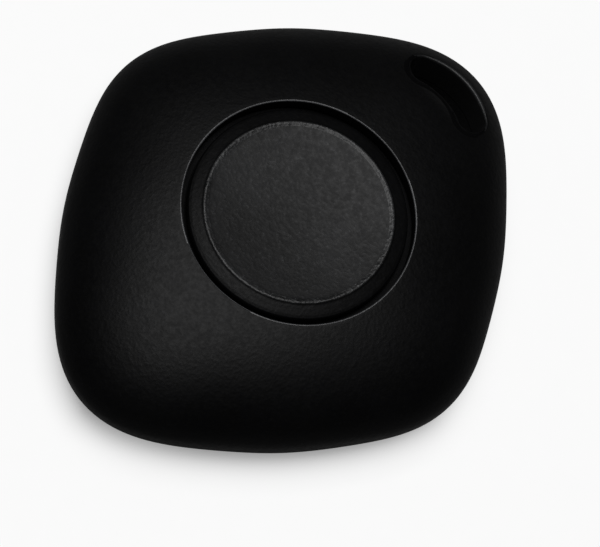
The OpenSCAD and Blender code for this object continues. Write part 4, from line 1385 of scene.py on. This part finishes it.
# %% Board screws
def screw(at):
    profile = [(0, -0.8), (0.8, -0.8), (1.12, -0.72), (1.28, -0.5), (1.3, -0.3), (1.3, -0.05),
               (1.25, 0), (0.7, 0), (0.7, 0.15)]
    for i in range(12):
        z = 0.25 + 0.18 * i
        profile += [(0.56, z), (0.7, z + 0.05), (0.7, z + 0.08), (0.56, z + 0.13)]
    profile += [(0.5, 2.45), (0.3, 2.6), (0, 2.6)]
    return cut(tidy(lathe("screw", lift(BOARD_Z, profile), 40, at)),
               *(tidy(plain_box((1.56, 0.42, 0.9), at, BOARD_Z - 1.3, 0.06, turn=turn))
                 for turn in (20, 110)))


finish_piece(join("board_screws_set", [(screw(at), 0) for at in SCREWS]), "board_screws",
             "screw_steel", ZINC, smooth_angle=25)

# %% [markdown]
# ## The switch under the button
#
# A bought tact switch clicks under the button's post: a moulded frame, a sheet
# cover held by four stakes, soldered terminals, a plunger and a sprung dome. The
# dome is turned like the rest.

# %% Switch
SWITCH_TOP, SWITCH_W, DOME_R = heights("switch_frame")[1], 4.5, 1.5
STAKES = [(x, y) for x in (-1.9, 1.9) for y in (-1.9, 1.9)]


def make_switch_case():
    body = tidy(soft_box((SWITCH_W, SWITCH_W, SWITCH_TOP - BOARD_TOP), (0, 0), BOARD_TOP, 0.08,
                         name="switch_frame_block"))
    stake = lift(SWITCH_TOP, [(0, -0.2), (0.2, -0.2), (0.2, 0.12), (0.28, 0.16), (0.28, 0.2),
                              (0, 0.24)])
    cut(body, rod(1.7, BOARD_TOP + 0.2, SWITCH_TOP + 1, 64))
    add(body, *(turned("stake", stake, [0, 0, 0, 0.03, 0.05, 0], 24, at) for at in STAKES))
    finish_piece(body, "switch_frame", "switch_plastic", BLACK)
    cover = tidy(soft_box((SWITCH_W, SWITCH_W, 0.14), (0, 0), SWITCH_TOP + 0.005, 0.03,
                          name="switch_cover_plate"))
    cut(cover, rod(1.2, SWITCH_TOP - 1, SWITCH_TOP + 1, 64),
        *(rod(0.21, SWITCH_TOP - 1, SWITCH_TOP + 1, 24, at) for at in STAKES))
    finish_piece(cover, "switch_cover", "spring_steel", SPRING)


def switch_foot(y, turn):
    foot = bent_strip("foot", lift(BOARD_TOP, [(2.26, 0.42), (2.45, 0.42), (2.58, 0.12),
                                               (2.95, 0.12)]), 0.14, 0.6, 0.1)
    foot.data.transform(Matrix.Translation((0, y * MM, 0)))
    return turn_about(foot, turn)


def make_switch_moving():
    low, top = heights("switch_plunger")
    turned_piece("switch_plunger", "post", "plunger_plastic", IVORY,
                 [(0, low), (1.5, low), (1.5, low + 0.3), (1.1, low + 0.3), (1.1, top), (0, top)],
                 [0, 0.05, 0.05, 0.05, 0.15, 0], 64, body="plunger")
    base, crown = heights("switch_dome")
    rise = [(r, base + (crown - base) * (1 - (r / DOME_R) ** 2.6))
            for r in np.linspace(0, DOME_R, 14)]
    under = [(r, max(z - 0.08, base)) for r, z in rise[-2::-1]]
    dome = tidy(lathe("switch_dome_disc", rise + [(DOME_R, base)] + under, 72))
    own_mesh(dome)
    finish_piece(dome, "switch_dome", "spring_steel", SPRING)


make_switch_case()
finish_piece(join("switch_terminals_set", [(switch_foot(side * SWITCH_FOOT[1], turn), 0)
                                           for turn in (0, 180) for side in SIDES]),
             "switch_terminals", "contact_brass", TIN)
make_switch_moving()

# %% [markdown]
# ## Parts on the board
#
# Surface-mounted parts look alike only from afar. The chip has a flat pad for every
# connection and a dot at the first one, a crystal is a metal lid on a ceramic base,
# and the antenna is a bent metal line on white ceramic. Capacitors, resistors and
# the inductor have tinned ends that wrap round all sides.

# %% Chip, crystals and antenna
def make_chip():
    low, high = box_mm("bluetooth_chip")
    (x, y), top = (low[:2] + high[:2]) / 2, high[2]
    mark = turned("mark", [(0, top - 0.05), (0.28, top - 0.05), (0.3, top + 0.3), (0, top + 0.3)],
                  0, 32, (x - 2.3, y + 2.3))
    body = cut(tidy(soft_box((6, 6, 0.9), (x, y), BOARD_TOP, 0.06)), mark)
    parts = [(body, 0), *four_rows((x, y), 2.82, (0.4, 0.28, 0.2), 0.02)]
    finish_piece(join("bluetooth_chip_body", parts), "bluetooth_chip", "chip_resin", RESIN, TIN)


def make_crystal(node):
    low, high = box_mm(node)
    (long, wide, tall), at = high - low, ((low + high) / 2)[:2]
    base = soft_box((long, wide, tall * 0.5), at, low[2], 0.06)
    ring = soft_box((long - 0.14, wide - 0.14, 0.06), at, low[2] + tall * 0.48, 0.02)
    lid = soft_box((long - 0.3, wide - 0.3, tall * 0.5), at, low[2] + tall * 0.5, 0.1, 0, 3)
    finish_piece(join(node + "_can", [(base, 1), (ring, 2), (lid, 0)]), node, "can_metal",
                 LID, CERAMIC, GOLD)


def make_antenna():
    r = inner_r(math.radians(135), BOARD_TOP + 1.1) - 0.3 - 1.0
    line = [(r - 0.7, -2.1)]
    for i in range(5):
        y = -1.6 + 0.8 * i
        line += [(line[-1][0], y), (r + (0.7 if i % 2 == 0 else -0.7), y)]
    line.append((line[-1][0], 2.1))
    parts = [(soft_box((2, 5.2, 1.1), (r, 0), BOARD_TOP, 0.06), 0)]
    parts += [(soft_box((2.03, 0.5, 1.12), (r, side * 2.36), BOARD_TOP - 0.01, 0.06), 1)
              for side in SIDES]
    parts.append((wire(line, 0.2, BOARD_TOP + 1.09), 1))
    finish_piece(turn_about(join("chip_antenna_bar", parts), 135), "chip_antenna",
                 "ceramic_white", CERAMIC, TIN)


make_chip()
make_crystal("main_crystal")
make_crystal("clock_crystal")
make_antenna()


# %% Inductor, capacitors and resistors
def end_capped(x, y, turn, size, end, glazed=False):
    """A small body with tinned ends, and with a glazed top if it is a resistor."""
    length, width, high = size
    parts = [(soft_box((length - 0.06, width - 0.05, high - 0.04), (x, y), BOARD_TOP + 0.02,
                       0.04, turn), 0)]
    parts += [(soft_box((end, width, high), at, BOARD_TOP, 0.05, turn), 1)
              for at in beside(x, y, turn, (length - end) / 2)]
    if glazed:
        parts.append((soft_box((length - 2 * end + 0.1, width - 0.14, 0.06), (x, y),
                               BOARD_TOP + high - 0.045, 0.02, turn), 2))
    return parts


def make_small_parts():
    low, high = box_mm("inductor")
    x, y = (low[:2] + high[:2]) / 2
    rows = (("inductor", "block", "ferrite", [(x, y, 0)], (high - low, 0.5), (FERRITE, TIN)),
            ("capacitors", "set", "ceramic_tan", SMALL_CAPS, ((1.6, 0.8, 0.8), 0.35), (TAN, TIN)),
            ("resistors", "set", "resistor_black", SMALL_RESISTORS, ((1.6, 0.8, 0.45), 0.3, True),
             (CERAMIC, TIN, GLAZE)))
    for node, form, slot, places, build, materials in rows:
        parts = [part for place in places for part in end_capped(*place, *build)]
        finish_piece(join(f"{node}_{form}", parts), node, slot, *materials)


make_small_parts()

# %% [markdown]
# ## Sounder
#
# The sounder hangs from the board over five holes in the rear cover. A coil round an
# iron post pulls on a thin steel plate, and a ring magnet holds the plate in reach.
# The coil is drawn as what it is, turns of round wire, by a scalloped section. A
# foam ring seals the sounder to the cover, and a woven mesh keeps dust out.

# %% Sounder
CASE_Z, ROOM_R, CASE_CORNER = heights("buzzer_case")[0], CASE_W - 0.4, 0.8
POST_R_IN, YOKE_R = 2 * ROOM_R * 0.125, 2 * ROOM_R * 0.47
COIL_Z, COIL_TOP, COIL_ROWS = BOARD_Z - 1.36, BOARD_Z - 0.16, 10


def make_buzzer_case():
    w, c, top = CASE_W, CASE_CORNER, CASE_Z + 1
    plan = rounded([(-w, -w), (w, -w), (w, w - c), (w - c, w), (-w, w)],
                   [0.25, 0.25, 0.2, 0.2, 0.25])
    obj = tidy(prism("buzzer_case_shell", [(x, y + BUZZER_Y) for x, y in plan], CASE_Z,
                     BOARD_Z - 0.01, 0.08))
    port = [(0, CASE_Z - 1), (1.25, CASE_Z - 1), (1.0, CASE_Z + 0.12), (1.0, top), (0, top)]
    cut(obj, rod(ROOM_R, CASE_Z + 0.4, BOARD_Z + 1, 96, AT_BUZZER),
        turned("port", port, 0, 48, AT_BUZZER))
    finish_piece(obj, "buzzer_case", "switch_plastic", BLACK)


def coil_section():
    inner, outer = POST_R_IN + 0.01, 2 * ROOM_R * 0.35
    wire_r = (COIL_TOP - COIL_Z) / COIL_ROWS / 2
    return [(inner, COIL_TOP), (inner, COIL_Z)] + [
        (outer - wire_r + wire_r * math.cos(t),
         COIL_Z + wire_r * (2 * i + 1) + wire_r * math.sin(t))
        for i in range(COIL_ROWS) for t in np.linspace(-1.35, 1.35, 7)]


def make_buzzer_inside():
    core = lift(BOARD_Z, [(0, -1.45), (POST_R_IN, -1.45), (POST_R_IN, -0.15), (YOKE_R, -0.15),
                          (YOKE_R, -0.01), (0, -0.01)])
    turned_piece("buzzer_core", "post", "screw_steel", ZINC, core,
                 [0, 0.06, 0.05, 0.04, 0.02, 0], 64, AT_BUZZER)
    finish_piece(tidy(lathe("buzzer_coil_turns", coil_section(), 72, AT_BUZZER)), "buzzer_coil",
                 "copper", COPPER)
    turned_piece("buzzer_magnet", "ring", "ferrite", FERRITE,
                 section(2 * ROOM_R * 0.38, YOKE_R, COIL_Z, COIL_TOP), 0.08, 72, AT_BUZZER)
    (z, top), r = heights("buzzer_plate"), ROOM_R
    plate = [(0, z), (1.1, z), (1.2, z + 0.03), (r - 0.5, z + 0.03), (r - 0.4, z), (r - 0.01, z),
             (r - 0.01, top - 0.03), (r - 0.45, top - 0.03), (r - 0.55, top), (0, top)]
    turned_piece("buzzer_plate", "disc", "spring_steel", SPRING, plate,
                 [0, 0.02, 0.02, 0.02, 0.02, 0.01, 0.01, 0.02, 0.02, 0], 96, AT_BUZZER)


def make_gasket_and_mesh():
    turned_piece("buzzer_gasket", "ring", "foam", FOAM, section(SOUND_R, SOUND_OUT, 2.71, 3.19),
                 0.1, 96, AT_BUZZER)
    turned_piece("sound_mesh", "disc", "mesh_cloth", MESH_CLOTH,
                 [(0, 1.41), (SOUND_R - 0.01, 1.41), (SOUND_R - 0.01, 1.53),
                  (SOUND_R - 0.4, 1.55), (0, 1.55)], [0, 0.02, 0.03, 0.05, 0], 96, AT_BUZZER)


make_buzzer_case()
make_buzzer_inside()
make_gasket_and_mesh()

# %% [markdown]
# ## Camera
#
# The camera stands about 22 cm away and looks down on the button from the right, so
# the circles become ellipses. Its place was fitted to the button hole and to the
# outline. It is rolled by about half a right angle, which puts the slot's corner at
# the upper right.

# %% Camera
CAMERA_RIGHT, CAMERA_UP = Vector((0.6721, 0.7128, 0.2007)), Vector((-0.7314, 0.5965, 0.3308))
CAMERA_TARGET, CAMERA_AWAY = Vector((3.3301, -1.4785, 4.5)) * MM, 0.2216


def make_camera():
    data = bpy.data.cameras.new("camera")
    data.sensor_fit, data.sensor_width, data.lens = "HORIZONTAL", 36.0, 155.5
    data.clip_start = 0.01
    cam = new_object("camera", data)
    back = CAMERA_RIGHT.cross(CAMERA_UP).normalized()
    right = CAMERA_RIGHT.normalized()
    turn = Matrix((right, back.cross(right), back)).transposed().to_4x4()
    cam.matrix_world = Matrix.Translation(CAMERA_TARGET + back * CAMERA_AWAY) @ turn
    bpy.context.scene.camera = cam
    print("camera at", [round(c, 4) for c in cam.matrix_world.translation])


make_camera()

# %% [markdown]
# ## Floor and light
#
# The finder lies on a plain pale floor. One wide soft lamp hangs overhead, a little
# towards the slot's corner, and a weak grey world fills the shadows. Black plastic
# shows little but reflections, so the lamp is what draws the dish, the crest and
# the slope of the dome. To camera rays the floor is plain white away from the finder.
# Its white fades out over a band shaped like the finder's outline, a painted shade
# round and under the finder, where the finder's own shadow shows as well.

# %% Floor
FLOOR_WHITE, FLOOR_HALF, FLOOR_POWER = 0.75, 1.5, 1.47


def camera_rays(tree, path):
    return calc(tree, "MAXIMUM", path["Is Camera Ray"], path["Is Transmission Ray"])


def whiten(tree, plain, white, share, output):
    """Lets the rays that share picks meet a white shader, and the rest a plain one."""
    mix = add_node(tree, "MixShader", {0: share, 1: plain.outputs[0], 2: white.outputs[0]})
    tree.links.new(mix.outputs[0], tree.nodes[output].inputs["Surface"])


def make_floor():
    m, tree, shader = new_material("floor_paint", Roughness=0.9, Specular_IOR_Level=0.1)
    path, place = add_node(tree, "LightPath").outputs, object_place(tree)
    paint = mixed(tree, noise(tree, place, 0.5 / MM), (0.9, 0.9, 0.9, 1), (0.94, 0.94, 0.94, 1))
    # To all rays but the camera's the floor is dark grey: painted shade in the finder's reflections
    # of the floor and in the light it bounces up
    shade = mixed(tree, path["Is Camera Ray"], (0.22, 0.22, 0.22, 1), paint)
    tree.links.new(shade, shader.inputs["Base Color"])
    h = FLOOR_HALF
    obj = new_mesh("floor", [(-h, -h, 0), (h, -h, 0), (h, h, 0), (-h, h, 0)], [(0, 1, 2, 3)],
                   scale=1.0)
    obj.location.z = -0.00002
    obj.data.materials.append(m)
    # Camera rays meet white away from the finder. The white fades out over a band shaped
    # like the finder's outline, a painted shade round and under it, where its real shadow
    # shows as well. Reflections meet a little white, and only from 3 cm out: nearer, the
    # floor stays dark in them, a painted shade, as dull black plastic would otherwise turn
    # grey along its edges
    white = add_node(tree, "Emission", {"Strength": 1.0})
    away = add_node(tree, "VectorMath", {0: place}, operation="LENGTH").outputs["Value"]
    split = split_place(tree, place)
    past = calc(tree, "ADD", *(
        calc(tree, "POWER", calc(tree, "ABSOLUTE", calc(tree, "DIVIDE", split[axis], half * MM)),
             FLOOR_POWER) for axis, half in (("X", HALF_W), ("Y", HALF_L))))
    # Painted shade round and under the finder: the white fades in by its outline
    seen = times(tree, camera_rays(tree, path), ramp(tree, past, 0.75, 1.15, 0, FLOOR_WHITE))
    # Painted shade in reflections: the floor shows white to them only from 3 cm out
    mirrored = times(tree, path["Is Glossy Ray"], ramp(tree, away, 0.03, 0.1, 0, 0.25))
    whiten(tree, shader, white, calc(tree, "MAXIMUM", seen, mirrored), "Material Output")


make_floor()


# %% Lamp and world
def make_lamp(name, direction, distance, size, power):
    data = bpy.data.lights.new(name, "AREA")
    data.shape, data.size, data.energy = "SQUARE", size, power
    lamp = new_object(name, data)
    direction = Vector(direction).normalized()
    lamp.location = direction * distance
    lamp.rotation_euler = direction.to_track_quat("Z", "Y").to_euler()
    print("lamp:", name, power, "W")


def make_world(strength, mirrored):
    world = bpy.data.worlds.new("studio")
    world.use_nodes = True
    tree = world.node_tree
    plain = tree.nodes["Background"]
    plain.inputs["Color"].default_value = (1, 1, 1, 1)
    plain.inputs["Strength"].default_value = strength
    white = add_node(tree, "Background", {"Color": (1, 1, 1, 1), "Strength": 1.0})
    path = add_node(tree, "LightPath").outputs
    share = calc(tree, "MAXIMUM", camera_rays(tree, path),
                 times(tree, path["Is Glossy Ray"], mirrored))
    whiten(tree, plain, white, share, "World Output")
    bpy.context.scene.world = world


make_lamp("softbox", (-0.13, 0.06, 0.99), 0.6, 0.4, 3.6)
make_world(0.04, 0.05)
bpy.context.scene.view_settings.view_transform = "Standard"
